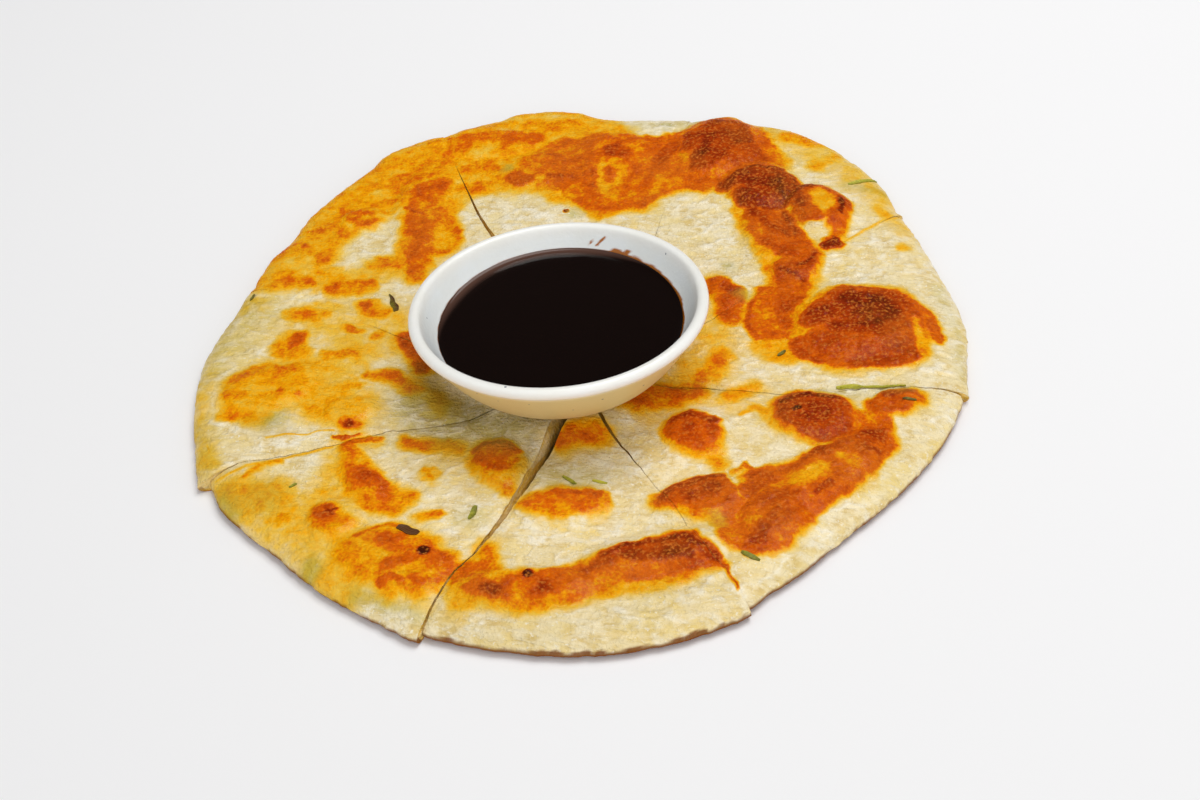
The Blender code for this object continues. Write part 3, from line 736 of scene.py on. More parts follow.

# The olive tint of scallion under the skin, and painted shade in olive where the bowl shades the skin
OLIVE_TINTS_AND_SHADE = (
    spot(0.75, 6, (-93, -54, 2), (-91, -59, 2.4)),
    spot(0.8, 3.4, (-69, -81, 2.2)),
    spot(0.6, 3, (-59, -91, 1.2), (-43, -100, 1)),
    spot(0.45, 6, (-83, -56, 4)),
    spot(0.5, 12, (-93, 22, 4), (-99, 8, 5), (-102, -4, 4)),
    spot(0.35, 8, (-103, -26, 2), (-99, -42, 2)),
    spot(0.6, 4, (-93, 27, 1.4)),
    spot(0.7, 3, (-82, -26, 2)),
    # painted shade: the bowl's shadow at its front left
    spot(0.75, 8, (-45, -26, 4), (-33, -36, 6), (-20, -42, 5)),
    spot(0.4, 3, (101, 2, 0.8), (103, -20, 0.8), (100, -36, 0.8)),
    spot(0.4, 5, (24, 99, 2), (36, 97, 2.4), (44, 98, 2)),
    spot(1.0, 2.4, (34, 96, 1.6)),
    spot(0.9, 2.6, (45.5, 20, 1.2)),
    spot(0.8, 2.4, (-17, 79, 1.4)),
    spot(0.7, 3, (47, 5, 1.4)),
    spot(0.75, 3, (1, 54, 1.4)),
    spot(0.55, 4, (64, -37, 1), (84, -39, 1)),
    spot(0.5, 3, (30, -80, 2)),
    spot(0.5, 4, (-30, -70, 3)),
    # painted shade: the bowl's shadow over the front slice
    spot(0.5, 4, (-10, -58, 3), (2, -62, 2.4)),
    spot(0.55, 3.4, (95, 50, 1.4), (86, 53.6, 1.2)),
)

# Painted shade: darker skin in the bowl's shadow beside its foot, along the cuts near the hub and over the
# front margin
PAINTED_SHADES = (
    spot(0.4, 4, (21, -28.5, 1), (28, -31, 1), (36, -32.5, 0.3)),
    spot(0.22, 6, (-88, -26, 1.5), (-80, -30, 1.5)),
    spot(0.68, 5.5, (-43, -12, 0.8), (-39, -22, 2), (-33, -29, 2.4), (-27, -34, 2)),
    spot(0.24, 9, (-14, -50, 4), (6, -58, 5), (12, -50, 3)),
    spot(0.1, 9, (-34, -104, 3), (0, -108, 4), (26, -102, 3)),
    spot(0.5, 6, (-33, -33, 0.5), (-26, -36, 1.5), (-18, -39, 2), (-12, -40.5, 2)),
    spot(0.45, 4, (-12, -41, 1.4), (-14, -48, 0.8), (-18, -56, 0.3)),
    spot(0.35, 4, (6, -41, 1.2), (10, -48, 0.5)),
    spot(0.3, 5, (12, -37, 1), (22, -31, 1.4)),
)

# Char marks where oil or scallion burnt onto the skin
CHARS = (
    spot(1.2, 1, (-41.5, -80.8, 1.5)),
    spot(0.86, 1.6, (-62, -32, 1.5)),
    spot(1.15, 1, (-16.5, -92.5, 1.2)),
    spot(1.2, 0.8, (55.5, -44, 0.8), (54, -44.6, 0.5)),
    spot(0.86, 0.8, (-67, -65, 0.35), (-63.5, -64, 0.4)),
    spot(0.84, 0.8, (-66.5, -63.2, 0.3), (-64, -66, 0.3)),
    spot(1.05, 0.8, (0, 54, 0.8)),
    spot(0.36, 1.6, (79, 25.6, 0.3), (86, 30, 0.3), (92, 34, 0.3), (99, 37.5, 0.3)),
    spot(0.36, 0.8, (-84, -33.8, 0.2), (-79, -33, 0.3), (-73, -34, 0.2), (-70, -32.8, 0.2),
         (-66, -33.6, 0.3)),
    spot(0.4, 0.7, (-99.6, -34, 0.2), (-98.6, -37, 0.2)),
    spot(0.4, 1.6, (-96, -47, 0.3), (-88, -43.6, 0.3), (-79, -42, 0.3), (-66, -39.6, 0.3)),
    spot(0.3, 1.4, (-60, 11, 0.2), (-68, 16, 0.2), (-72, 19, 0.2)),
)

FLECKS = (
    Fleck(76, -37.5, 17, 0.8, -7, 0.85, 0.2),
    Fleck(70, -36.6, 7, 1.5, -8, 0.9, 0.2),
    Fleck(54.5, -20.5, 3.0, 1.0, 40, 0.3),
    Fleck(90.4, 55.6, 9.6, 1.3, 17, 0.8, 0.6),
    Fleck(-51.6, 18, 8.5, 2.6, 105, 0.12, 0.4, 0.75),
    Fleck(-45.6, -73, 6.0, 2.8, -32, -0.4),
    Fleck(-29.5, -69, 4.6, 1.5, 65, 0.5),
    Fleck(-5, -61, 5, 1.0, -50, 0.65),
    Fleck(2.5, -62.5, 4, 0.8, -20, 1.0, 0.3),
    Fleck(36.5, -92, 5, 1.1, -35, 0.45, 0.3),
    Fleck(84, -45, 3.6, 0.8, -12, 0.2, 0.2),
    Fleck(-75.5, -52.5, 2.2, 0.9, 35, 0.6),
    Fleck(-93, 27.5, 2.4, 0.8, 60, 0.3),
)


@dataclass
class Crust:
    """The pancake's skin: where it lies, how it is browned and how it is wrinkled."""

    drift: tuple[Grain, Grain] = (Grain(9.0, 4, 11), Grain(9.0, 4, 12))
    ragged: tuple[Grain, Grain] = (Grain(2.4, 3, 13), Grain(2.4, 3, 14))
    drift_reach: float = 2.2
    ragged_reach: float = 0.8

    @staticmethod
    def foot_share(x: Array, y: Array) -> Array:
        """How free of the bowl's foot the skin is, from 0 under it to 1."""
        return ease((np.hypot(x - BOWL_FOOT.x, y - BOWL_FOOT.y) - FOOT_RADIUS - FOOT_PRESS) / FOOT_FADE)

    @staticmethod
    def plain_skin(x: Array, y: Array) -> Array:
        """The smooth skin with its blisters, as the solids have it.

        Args:
            x, y: Places in millimetres.

        Returns:
            Its height at each place, clear of the outer edge.
        """
        swell = [noise.noise((a, b, 0.0)) for a, b in zip(x / SWELL_LENGTH, y / SWELL_LENGTH)]
        rise = np.max([blister.height(x, y) for blister in BLISTERS], axis=0)
        free = SKIN_HEIGHT + SWELL * np.array(swell) + np.maximum(rise, 0.0)
        foot = BOWL_FOOT.z - BOWL_GAP + (y - BOWL_FOOT.y) * math.tan(BOWL_LEAN)
        return mix(foot, free, Crust.foot_share(x, y))

    @staticmethod
    def margin(turn: Array) -> Array:
        """How wide the rounded outer edge is at each turn about the hub."""
        return MARGIN_MIDDLE + MARGIN_SWING * np.cos(turn - MARGIN_WIDEST)

    @classmethod
    def skin(cls, x: Array, y: Array, tone: Array) -> Array:
        """The smooth skin with its fine relief, clear of the outer edge and the cuts."""
        return cls.plain_skin(x, y) + cls.foot_share(x, y) * cls.relief(x, y, tone)

    def wander(self, x: Array, y: Array) -> tuple[Array, Array, Array]:
        """Places moved a little, so that borders wander and fray.

        Args:
            x, y: Places in millimetres.

        Returns:
            The moved places, and how soft the borders are there.
        """
        across, along = (
            self.drift_reach * drift.at(x, y) + self.ragged_reach * ragged.at(x, y)
            for drift, ragged in zip(self.drift, self.ragged)
        )
        return x + across, y + along, 1.4 + 0.9 * Grain(11.0, 2, 15).at(x, y)

    def lay(self, patches: tuple[Patch, ...], under: Array, x: Array, y: Array) -> Array:
        """Lays patches with wandering borders.

        Args:
            patches: The patches, the lowest first.
            under: What they are laid on, a tone or a share for each place.
            x, y: Places in millimetres.

        Returns:
            The tones or shares with all patches laid.
        """
        px, py, spread = self.wander(x, y)
        for patch in patches:
            under = patch.over(under, px, py, spread)
        return under

    def browning(self, x: Array, y: Array) -> Array:
        """How browned the top is.

        Args:
            x, y: Places in millimetres.

        Returns:
            Tones from 0, pale, to BURNT.
        """
        tone = 0.05 + 0.03 * ease((-y - 20.0) / 60.0) + 0.12 * Grain(11.0, 3, 21).at(x, y)
        tone = self.lay(WASHES, tone, x, y)
        tone = tone * (1.0 + 0.20 * Grain(6.0, 3, 25).at(x, y) + 0.12 * Grain(2.0, 2, 26).at(x, y))
        px, py, spread = self.wander(x, y)
        uneven = Grain(8.0, 2, 27).at(x, y)
        for patch in WINDOWS + TOASTS:
            if patch.tone > FRINGED and patch.lay is Lay.DEEPENS:
                fringe = Patch(FRINGE_TONE, patch.soft + FRINGE_SOFT, patch.discs)
                lowered = py + FRINGE_DROP + 2.4 * uneven
                tone = fringe.over(tone, px, lowered, spread * (1.0 + 0.7 * uneven))
            tone = patch.over(tone, px, py, spread)
        browned = ease(tone * 2.2)
        tone = tone + browned * (0.12 * Grain(5.5, 3, 22).at(x, y) + 0.06 * Grain(1.7, 2, 23).at(x, y))
        near, own = Bubbles(2.6, 24).at(px, py)
        tone = tone + browned * 0.05 * (own - 0.55) * ease(1.2 - 1.6 * near)
        for patch in CHARS:
            tone = patch.over(tone, x, y, np.ones(x.shape))
        return np.clip(tone, 0.0, BURNT)

    def tints(self, x: Array, y: Array) -> dict[str, Array]:
        """What else the dough's finish reads: the olive tint, partly painted shade; the painted shade; and
        the whitish skin with painted highlight on its pleats.

        Args:
            x, y: Places in millimetres.

        Returns:
            A share from 0 to 1 for each place, by name.
        """
        olive = 0.08 * ease(Grain(16.0, 2, 31).at(x, y) * 2.0)
        milk = self.lay(MILKS, 0.45 + 0.4 * Grain(7.0, 3, 32).at(x, y), x, y)
        return {
            "olive": self.lay(OLIVE_TINTS_AND_SHADE, olive, x, y),
            # painted shade beside the bowl, along the cuts and at the front
            "painted_shade": self.lay(PAINTED_SHADES, np.zeros(x.shape), x, y),
            # Painted highlight: the raised pleats are painted whiter, as if lit on their ridges
            "milk": np.clip(milk + 0.45 * self.pleats(x, y), 0.0, 1.0),
        }

    @staticmethod
    def relief(x: Array, y: Array, tone: Array) -> Array:
        """The fine relief: frayed steps of the browned skin, bubbles and wrinkles.

        Args:
            x, y: Places in millimetres.
            tone: How browned each place is.

        Returns:
            Heights to add to the smooth skin.
        """
        browned, pale = ease((tone - 0.3) * 2.6), ease((0.55 - tone) * 2.6)
        near, own = Bubbles(2.3, 41).at(x, y)
        bubbles = 0.30 * ease(1.1 - 1.9 * near) * (0.3 + 0.7 * own)
        near, own = Bubbles(1.35, 45).at(x, y)
        bubbles = bubbles + 0.14 * ease(1.0 - 1.7 * near) * own
        wrinkles = 0.22 * Grain(5.0, 3, 43).at(x, y) + 0.13 * Grain(1.6, 2, 44).at(x * 0.7, y * 1.3)
        grooves = ease(1.0 - 9.0 * np.abs(Grain(15.0, 2, 46).at(x, y * 1.4)))
        folds = 0.24 * Crust.pleats(x, y) - 0.22 * grooves
        return 0.34 * ease(tone * 1.5) + browned * bubbles + (0.35 + 0.65 * pale) * wrinkles + pale * folds

    @staticmethod
    def pleats(x: Array, y: Array) -> Array:
        """The fine raised wrinkles of the pale skin, from 0 to 1."""
        return ease(1.0 - 6.0 * np.abs(Grain(7.0, 3, 48).at(x * 0.7, y * 1.3)))


class Bench:
    """The modelling steps that the pieces share."""

    @staticmethod
    @contextmanager
    def editing() -> Iterator[None]:
        """Edit mode for the steps inside it."""
        bpy.ops.object.mode_set(mode="EDIT")
        yield
        bpy.ops.object.mode_set(mode="OBJECT")

    @staticmethod
    def places(thing: Piece) -> Array:
        """The piece's points.

        Args:
            thing: The piece.

        Returns:
            Their places, one row each.
        """
        flat = np.empty(len(thing.data.vertices) * 3)
        thing.data.vertices.foreach_get("co", flat)
        return flat.reshape(-1, 3)

    @staticmethod
    def move(thing: Piece, places: Array) -> None:
        """Puts the piece's points at new places."""
        thing.data.vertices.foreach_set("co", np.ascontiguousarray(places, np.float32).ravel())
        thing.data.update()

    @staticmethod
    def paint(thing: Piece, name: str, values: Array) -> None:
        """Writes one value for each point, for the materials to read."""
        layer = thing.data.attributes.new(name, "FLOAT", "POINT")
        layer.data.foreach_set("value", np.ascontiguousarray(values, np.float32))

    @staticmethod
    def ends(thing: Piece) -> Array:
        """The piece's edges.

        Args:
            thing: The piece.

        Returns:
            The numbers of each edge's two points, one row each.
        """
        flat = np.empty(len(thing.data.edges) * 2, np.int32)
        thing.data.edges.foreach_get("vertices", flat)
        return flat.reshape(-1, 2)

    @staticmethod
    def added(name: str) -> Piece:
        """The object that was just added, under its name."""
        bpy.context.object.name = name
        return bpy.context.object

    @staticmethod
    def pick(thing: Piece, edges: Array) -> None:
        """Selects some edges and nothing else.

        Args:
            thing: The piece.
            edges: True for each edge to select.
        """
        bpy.context.tool_settings.mesh_select_mode = (False, True, False)
        thing.data.polygons.foreach_set("select", np.zeros(len(thing.data.polygons), bool))
        thing.data.vertices.foreach_set("select", np.zeros(len(thing.data.vertices), bool))
        thing.data.edges.foreach_set("select", edges)

    @staticmethod
    def block(name: str, cells: tuple[tuple[int, ...], ...]) -> Piece:
        """A block from (0, 0, 0) to (1, 1, 1), cut into a fine grid.

        Args:
            name: The piece's name.
            cells: For each axis, the counts that its edges are cut into, one after another.

        Returns:
            The block.
        """
        bpy.ops.object.select_all(action="DESELECT")
        bpy.ops.mesh.primitive_cube_add(size=1.0, location=(0.5, 0.5, 0.5))
        bpy.ops.object.transform_apply(location=True, rotation=False, scale=False)
        block = Bench.added(name)
        for axis, counts in enumerate(cells):
            for count in counts:
                ends = Bench.places(block)[Bench.ends(block)]
                Bench.pick(block, np.abs(ends[:, 0] - ends[:, 1])[:, axis] > 1e-6)
                with Bench.editing():
                    bpy.ops.mesh.subdivide(number_cuts=count - 1)
        return block

    @staticmethod
    def turned(name: str, profile: list[Place], sides: int) -> Piece:
        """A closed shape turned about the Z axis.

        Args:
            name: The piece's name.
            profile: Radius and height of its points, from axis to axis.
            sides: How many sides the turned shape has.

        Returns:
            The turned piece.
        """
        bpy.ops.object.select_all(action="DESELECT")
        bpy.ops.mesh.primitive_circle_add(vertices=len(profile), radius=1.0, fill_type="NOTHING")
        piece = Bench.added(name)
        Bench.move(piece, np.array([(radius, 0.0, height) for radius, height in profile]))
        ends = Bench.ends(piece)
        Bench.pick(piece, np.abs(ends[:, 0] - ends[:, 1]) == len(profile) - 1)
        with Bench.editing():
            bpy.ops.mesh.delete(type="EDGE")
            bpy.ops.mesh.select_all(action="SELECT")
            bpy.ops.mesh.spin(steps=sides, angle=2 * math.pi, center=(0, 0, 0), axis=(0, 0, 1))
            bpy.ops.mesh.select_all(action="SELECT")
            bpy.ops.mesh.remove_doubles(threshold=0.0005)
            bpy.ops.mesh.normals_make_consistent(inside=False)
        return piece

    @staticmethod
    def settle(piece: Piece, finish: bpy.types.Material, slot: str, *nodes: str) -> None:
        """Turns a piece into metres, dresses it and seats it in the frame.

        Args:
            piece: The finished piece, in millimetres.
            finish: Its material.
            slot: Not used.
            nodes: The frame's nodes that it stands for.
        """
        Bench.move(piece, Bench.places(piece) * MM)
        bpy.ops.object.select_all(action="DESELECT")
        piece.select_set(True)
        bpy.context.view_layer.objects.active = piece
        bpy.ops.object.shade_smooth_by_angle(angle=SHARP_ANGLE)
        piece.data.materials.clear()
        piece.data.materials.append(finish)
        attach(piece, "root")
        if nodes:
            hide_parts(*nodes)
        log.info("%s: %d faces", piece.name, len(piece.data.polygons))


class Recipe:
    """A node tree laid out by short calls."""

    def __init__(self, tree: bpy.types.NodeTree) -> None:
        """Starts on a tree."""
        self.tree = tree

    def feed(self, socket: Socket, value: object) -> None:
        """Links a socket to a value's socket, or sets it to a plain value.

        Args:
            socket: The input to feed.
            value: Another socket, or a plain value.
        """
        if isinstance(value, Socket):
            self.tree.links.new(value, socket)
        else:
            socket.default_value = value

    def add(self, kind: str, inputs: Inputs | None = None, **settings: object) -> bpy.types.Node:
        """Adds a node.

        Args:
            kind: The node's type, without its ShaderNode prefix.
            inputs: Values or sockets for its inputs, by name or place.
            settings: Its own settings.

        Returns:
            The node.
        """
        node = self.tree.nodes.new(kind if kind.startswith("NodeGroup") else "ShaderNode" + kind)
        for name, value in settings.items():
            setattr(node, name, value)
        for key, value in (inputs or {}).items():
            self.feed(node.inputs[key], value)
        return node

    def read(self, name: str) -> Socket:
        """The value painted on the piece under a name."""
        return self.add("Attribute", attribute_name=name).outputs["Fac"]

    def maths(self, operation: str, *values: object) -> Socket:
        """One step of arithmetic, by a Math node's operation."""
        return self.add("Math", dict(enumerate(values)), operation=operation).outputs[0]

    def times(self, first: object, *others: object) -> Socket:
        """Values multiplied, one after another."""
        return reduce(lambda product, value: self.maths("MULTIPLY", product, value), others, first)

    def plus(self, first: object, *others: object) -> Socket:
        """Values added up, one after another."""
        return reduce(lambda total, value: self.maths("ADD", total, value), others, first)

    def span(self, value: object, low: float, high: float, start: float = 0.0, end: float = 1.0) -> Socket:
        """A value taken smoothly from one span to another.

        Args:
            value: The value's socket.
            low, high: The span that it has.
            start, end: The span that it gets.

        Returns:
            The result's socket.
        """
        inputs = {0: value, 1: low, 2: high, 3: start, 4: end}
        return self.add("MapRange", inputs, interpolation_type="SMOOTHSTEP").outputs[0]

    def tint(self, share: object, under: object, over: object) -> Socket:
        """One colour laid over another.

        Args:
            share: How much of the second one shows.
            under, over: The two colours.

        Returns:
            The mixed colour's socket.
        """
        inputs = {0: share, 6: self.plain(under), 7: self.plain(over)}
        return self.add("Mix", inputs, data_type="RGBA").outputs[2]

    @staticmethod
    def plain(colour: object) -> object:
        """A tone as its colour, and anything else as it is."""
        return colour.linear if isinstance(colour, Tone) else colour

    def scale(self, value: object, stops: tuple[tuple[float, Tone], ...]) -> Socket:
        """A row of tones along a value.

        Args:
            value: The value's socket.
            stops: Places along it, with their tones.

        Returns:
            The colour's socket.
        """
        ramp = self.add("ValToRGB", {0: value})
        band = ramp.color_ramp.elements
        while len(band) < len(stops):
            band.new(0.5)
        for element, (place, tone) in zip(band, stops):
            element.position = place
            element.color = tone.linear
        return ramp.outputs[0]

    def group(self, name: str, **inputs: object) -> Socket:
        """Places one of the shared effects.

        Args:
            name: The effect's name.
            inputs: Values for its inputs, with _ for a space.

        Returns:
            The effect's output.
        """
        values = {label.replace("_", " "): value for label, value in inputs.items()}
        return self.add("Group", values, node_tree=Effect.made[name]).outputs[0]


class Effect:
    """An effect that several finishes share, made once as a node group."""

    made: dict[str, bpy.types.NodeTree] = {}
    wrinkle_stretch = 0.32

    def __init__(self, name: str, inputs: dict[str, float], output: str) -> None:
        """Starts the effect's group with its sockets.

        Args:
            name: The effect's name.
            inputs: Its inputs, with their usual values.
            output: Its output.
        """
        tree = bpy.data.node_groups.new(name, "ShaderNodeTree")
        for label, value in inputs.items():
            socket = tree.interface.new_socket(label, in_out="INPUT", socket_type="NodeSocketFloat")
            socket.default_value = value
        tree.interface.new_socket(output, in_out="OUTPUT", socket_type="NodeSocketFloat")
        Effect.made[name] = tree
        self.recipe = Recipe(tree)
        self.given = self.recipe.add("NodeGroupInput").outputs
        self.result = self.recipe.add("NodeGroupOutput").inputs[0]
        self.where = self.recipe.add("TexCoord").outputs["Object"]

    def scaled(self, size: str) -> Socket:
        """The texture scale that gives features of the size that an input names."""
        return self.recipe.maths("DIVIDE", 1.0 / MM, self.given[size])

    def end_with_noise(self, where: Socket, **character: float) -> None:
        """Ends the group with noise, spread from its Low to its High.

        Args:
            where: The places to read it at.
            character: The noise's other inputs.
        """
        inputs = {"Vector": where, "Scale": self.scaled("Size mm"), "Detail": self.given["Detail"]}
        found = self.recipe.add("TexNoise", inputs | character).outputs[0]
        inputs = {0: found, 1: self.given["Low"], 2: self.given["High"], 3: 0.0, 4: 1.0}
        self.recipe.feed(self.result, self.recipe.add("MapRange", inputs).outputs[0])

    @classmethod
    def build_all(cls) -> None:
        """Makes the grain, the wrinkles and the specks."""
        grain = cls("grain", {"Size mm": 1.0, "Detail": 2.0, "Low": 0.3, "High": 0.7}, "Value")
        grain.end_with_noise(grain.where)

        usual = {"Size mm": 3.0, "Detail": 5.0, "Turn": 0.0, "Low": 0.3, "High": 0.9}
        wrinkles = cls("wrinkles", usual, "Value")
        inputs = {"Vector": wrinkles.where, "Angle": wrinkles.given["Turn"]}
        turned = wrinkles.recipe.add("VectorRotate", inputs, rotation_type="Z_AXIS").outputs[0]
        inputs = {0: turned, 1: (cls.wrinkle_stretch, 1.0, 1.0)}
        drawn_out = wrinkles.recipe.add("VectorMath", inputs, operation="MULTIPLY").outputs[0]
        wrinkles.end_with_noise(drawn_out, Roughness=0.62, Distortion=1.2)

        specks = cls("specks", {"Spacing mm": 3.0, "Reach": 0.1, "Share": 0.3}, "Mask")
        recipe = specks.recipe
        cells = recipe.add("TexVoronoi", {"Vector": specks.where, "Scale": specks.scaled("Spacing mm")})
        own = recipe.add("SeparateColor", {0: cells.outputs["Color"]}).outputs
        reach = recipe.times(specks.given["Reach"], own[1])
        near = recipe.maths("LESS_THAN", cells.outputs["Distance"], reach)
        chosen = recipe.maths("LESS_THAN", own[0], specks.given["Share"])
        recipe.feed(specks.result, recipe.times(near, chosen))


@dataclass(frozen=True)
class Finish:
    """A surface: its shader's own constants. A kind of finish adds its nodes in dress."""

    name: str
    roughness: float = 0.5
    specular: float = 0.5
    coat_roughness: float = 0.1

    def dress(self, recipe: Recipe, shader: bpy.types.Node) -> None:
        """Adds the nodes of this finish to its recipe and shader."""

    @staticmethod
    def bump(recipe: Recipe, shader: bpy.types.Node, height: Socket, depth: float) -> None:
        """Adds fine relief in the shading.

        Args:
            recipe: The material's recipe.
            shader: Its shader.
            height: The relief from 0 to 1.
            depth: Its depth in millimetres.
        """
        node = recipe.add("Bump", {"Height": height, "Distance": depth * MM, "Strength": 1.0})
        recipe.feed(shader.inputs["Normal"], node.outputs[0])

    def material(self) -> bpy.types.Material:
        """Makes the material.

        Returns:
            The finished material.
        """
        made = bpy.data.materials.new(self.name)
        made.use_nodes = True
        recipe = Recipe(made.node_tree)
        shader = made.node_tree.nodes["Principled BSDF"]
        shader.inputs["Roughness"].default_value = self.roughness
        shader.inputs["Specular IOR Level"].default_value = self.specular
        shader.inputs["Coat Roughness"].default_value = self.coat_roughness
        self.dress(recipe, shader)
        return made


@dataclass(frozen=True)
class FriedDough(Finish):
    """Oily fried dough, from pale to dark brown, with layered cut sides."""

    browns: tuple[tuple[float, Tone], ...] = (
        (0.00, Tone.DOUGH), (0.14, Tone.CREAM), (0.27, Tone.BUTTER), (0.39, Tone.GOLD), (0.53, Tone.ORANGE),
        (0.67, Tone.RUST), (0.81, Tone.BROWN), (0.97, Tone.UMBER), (1.25, Tone.CHAR),
    )

    def dress(self, recipe: Recipe, shader: bpy.types.Node) -> None:
        """Adds the browning, the olive tint with its painted shade, the layers, the painted shade, the
        painted glints and highlights, and the oil.

        Args:
            recipe: The material's recipe.
            shader: Its shader.
        """
        tone, side = recipe.read("tone"), recipe.read("side")
        fine = recipe.group("grain", Size_mm=0.8, Detail=3.0)
        broad = recipe.group("grain", Size_mm=3.5, Detail=4.0)
        crisp = recipe.span(tone, 0.12, 0.5, 0.03, 0.11)
        shift = recipe.times(recipe.maths("SUBTRACT", fine, 0.5), crisp)
        drift = recipe.times(recipe.maths("SUBTRACT", broad, 0.5), crisp)
        toast = recipe.times(recipe.plus(tone, shift, drift), 1 / BURNT)
        skin = recipe.scale(toast, tuple((place / BURNT, colour) for place, colour in self.browns))
        pale = recipe.span(tone, 0.06, 0.32, 1.0, 0.0)
        blotch = recipe.group("grain", Size_mm=6.5, Detail=4.0, Low=0.40, High=0.64)
        mottle = recipe.group("grain", Size_mm=3.2, Detail=5.0, Low=0.40, High=0.64)
        creases = recipe.group("wrinkles", Size_mm=1.6, Detail=4.0, Turn=0.25, Low=0.42, High=0.64)
        either = recipe.plus(recipe.times(mottle, 0.6), recipe.times(creases, 0.45))
        dull = recipe.times(pale, blotch, recipe.span(either, 0.0, 0.8, 1.0, 0.15))
        skin = recipe.tint(dull, skin, Tone.SHADE)
        # The olive tint here is partly painted shade beside the bowl
        skin = recipe.tint(recipe.times(recipe.read("olive"), 0.75), skin, Tone.OLIVE)
        # The milk share also holds the painted highlight on the pleats
        milk_and_highlights = recipe.times(recipe.read("milk"), recipe.span(either, 0.0, 0.8, 0.15, 1.0))
        # Painted glints: tiny white specks of painted highlight on the pale dough
        glints = recipe.group("grain", Size_mm=0.9, Detail=1.0, Low=0.63, High=0.72)
        milk_and_highlights = recipe.maths("MAXIMUM", milk_and_highlights, recipe.times(glints, 0.85))
        skin = recipe.tint(recipe.times(pale, milk_and_highlights), skin, Tone.MILK)
        # Painted glints on the browned skin: small light orange specks of painted highlight
        specks = recipe.group("grain", Size_mm=0.9, Detail=2.0, Low=0.50, High=0.68)
        bright = recipe.times(specks, recipe.span(tone, 0.4, 0.8, 0.0, 0.6))
        skin = recipe.tint(bright, skin, Tone.SHINE)
        layered = recipe.times(side, recipe.span(recipe.read("leaf"), 0.2, 0.8, 0.45, 1.0))
        skin = recipe.tint(layered, skin, Tone.LAYER)
        # Painted shade: darker olive where the bowl and the cuts shade the dough
        skin = recipe.tint(recipe.times(recipe.read("painted_shade"), 0.8), skin, Tone.PAINTED_SHADOW)
        skin = recipe.tint(recipe.read("line"), skin, Tone.CRUST)
        recipe.feed(shader.inputs["Base Color"], skin)
        oil = recipe.group("grain", Size_mm=7.0, Detail=3.0, Low=0.36, High=0.66)
        recipe.feed(shader.inputs["Roughness"], recipe.span(oil, 0.0, 1.0, 0.6, 0.45))
        wet = recipe.times(
            recipe.span(oil, 0.0, 1.0, 0.08, 0.4),
            recipe.span(tone, 0.2, 0.5, 1.0, 0.25),
            recipe.span(recipe.read("line"), 0.0, 0.5, 1.0, 0.1),
        )
        recipe.feed(shader.inputs["Coat Weight"], wet)
        self.bump(recipe, shader, recipe.plus(recipe.times(fine, 0.6), either), 0.32)


@dataclass(frozen=True)
class BowlGlaze(Finish):
    """Speckled stoneware with dried sauce inside: a white lip, a warm belly that is painted reflection of the
    pancake, and a white hollow painted a little cooler as light.
    """

    def dress(self, recipe: Recipe, shader: bpy.types.Node) -> None:
        """Adds the zones of painted light, the specks and the stains.

        Args:
            recipe: The material's recipe.
            shader: Its shader.
        """
        drift = recipe.group("grain", Size_mm=9.0, Detail=3.0)
        outside = recipe.tint(recipe.read("belly"), Tone.GLAZE, Tone.BELLY)
        glaze = recipe.tint(recipe.read("hollow"), outside, Tone.HOLLOW)
        glaze = recipe.tint(recipe.span(drift, 0.0, 1.0, 0.0, 0.08), glaze, Tone.BELLY)
        specks = recipe.group("specks", Spacing_mm=2.6, Reach=0.17, Share=0.16)
        glaze = recipe.tint(recipe.times(specks, 0.75), glaze, Tone.SPECK)
        patchy = recipe.group("grain", Size_mm=1.4, Detail=3.0, Low=0.2, High=0.6)
        stained = recipe.times(recipe.read("stain"), recipe.span(patchy, 0.0, 1.0, 1.1, 1.6))
        recipe.feed(shader.inputs["Base Color"], recipe.tint(stained, glaze, Tone.STAIN))
        recipe.feed(shader.inputs["Roughness"], recipe.span(recipe.read("belly"), 0.0, 1.0, 0.22, 0.42))
        self.bump(recipe, shader, recipe.group("grain", Size_mm=1.1, Detail=2.0), 0.03)


@dataclass(frozen=True)
class DarkSauce(Finish):
    """Nearly black dipping sauce with a film of oil."""

    def dress(self, recipe: Recipe, shader: bpy.types.Node) -> None:
        """Adds the thin brown edge and the faint film.

        Args:
            recipe: The material's recipe.
            shader: Its shader.
        """
        film = recipe.group("grain", Size_mm=12.0, Detail=2.0)
        colour = recipe.tint(recipe.read("thin"), Tone.SAUCE, Tone.SHALLOW)
        recipe.feed(shader.inputs["Base Color"], colour)
        recipe.feed(shader.inputs["Roughness"], recipe.span(film, 0.0, 1.0, 0.04, 0.1))
        self.bump(recipe, shader, film, 0.04)


@dataclass(frozen=True)
class ScallionLeaf(Finish):
    """Cooked scallion, from light green to nearly black, ribbed along its length."""

    def dress(self, recipe: Recipe, shader: bpy.types.Node) -> None:
        """Adds the greens and the ribs.

        Args:
            recipe: The material's recipe.
            shader: Its shader.
        """
        grain = recipe.group("grain", Size_mm=0.7, Detail=3.0)
        green = recipe.plus(recipe.read("green"), recipe.span(grain, 0.0, 1.0, -0.12, 0.12))
        colour = recipe.scale(green, ((0.0, Tone.LEAF_DARK), (0.5, Tone.LEAF), (1.0, Tone.LEAF_LIGHT)))
        recipe.feed(shader.inputs["Base Color"], colour)
        ribs = recipe.maths("SINE", recipe.times(recipe.read("rib"), 24.0))
        self.bump(recipe, shader, recipe.span(ribs, -1.0, 1.0), 0.06)


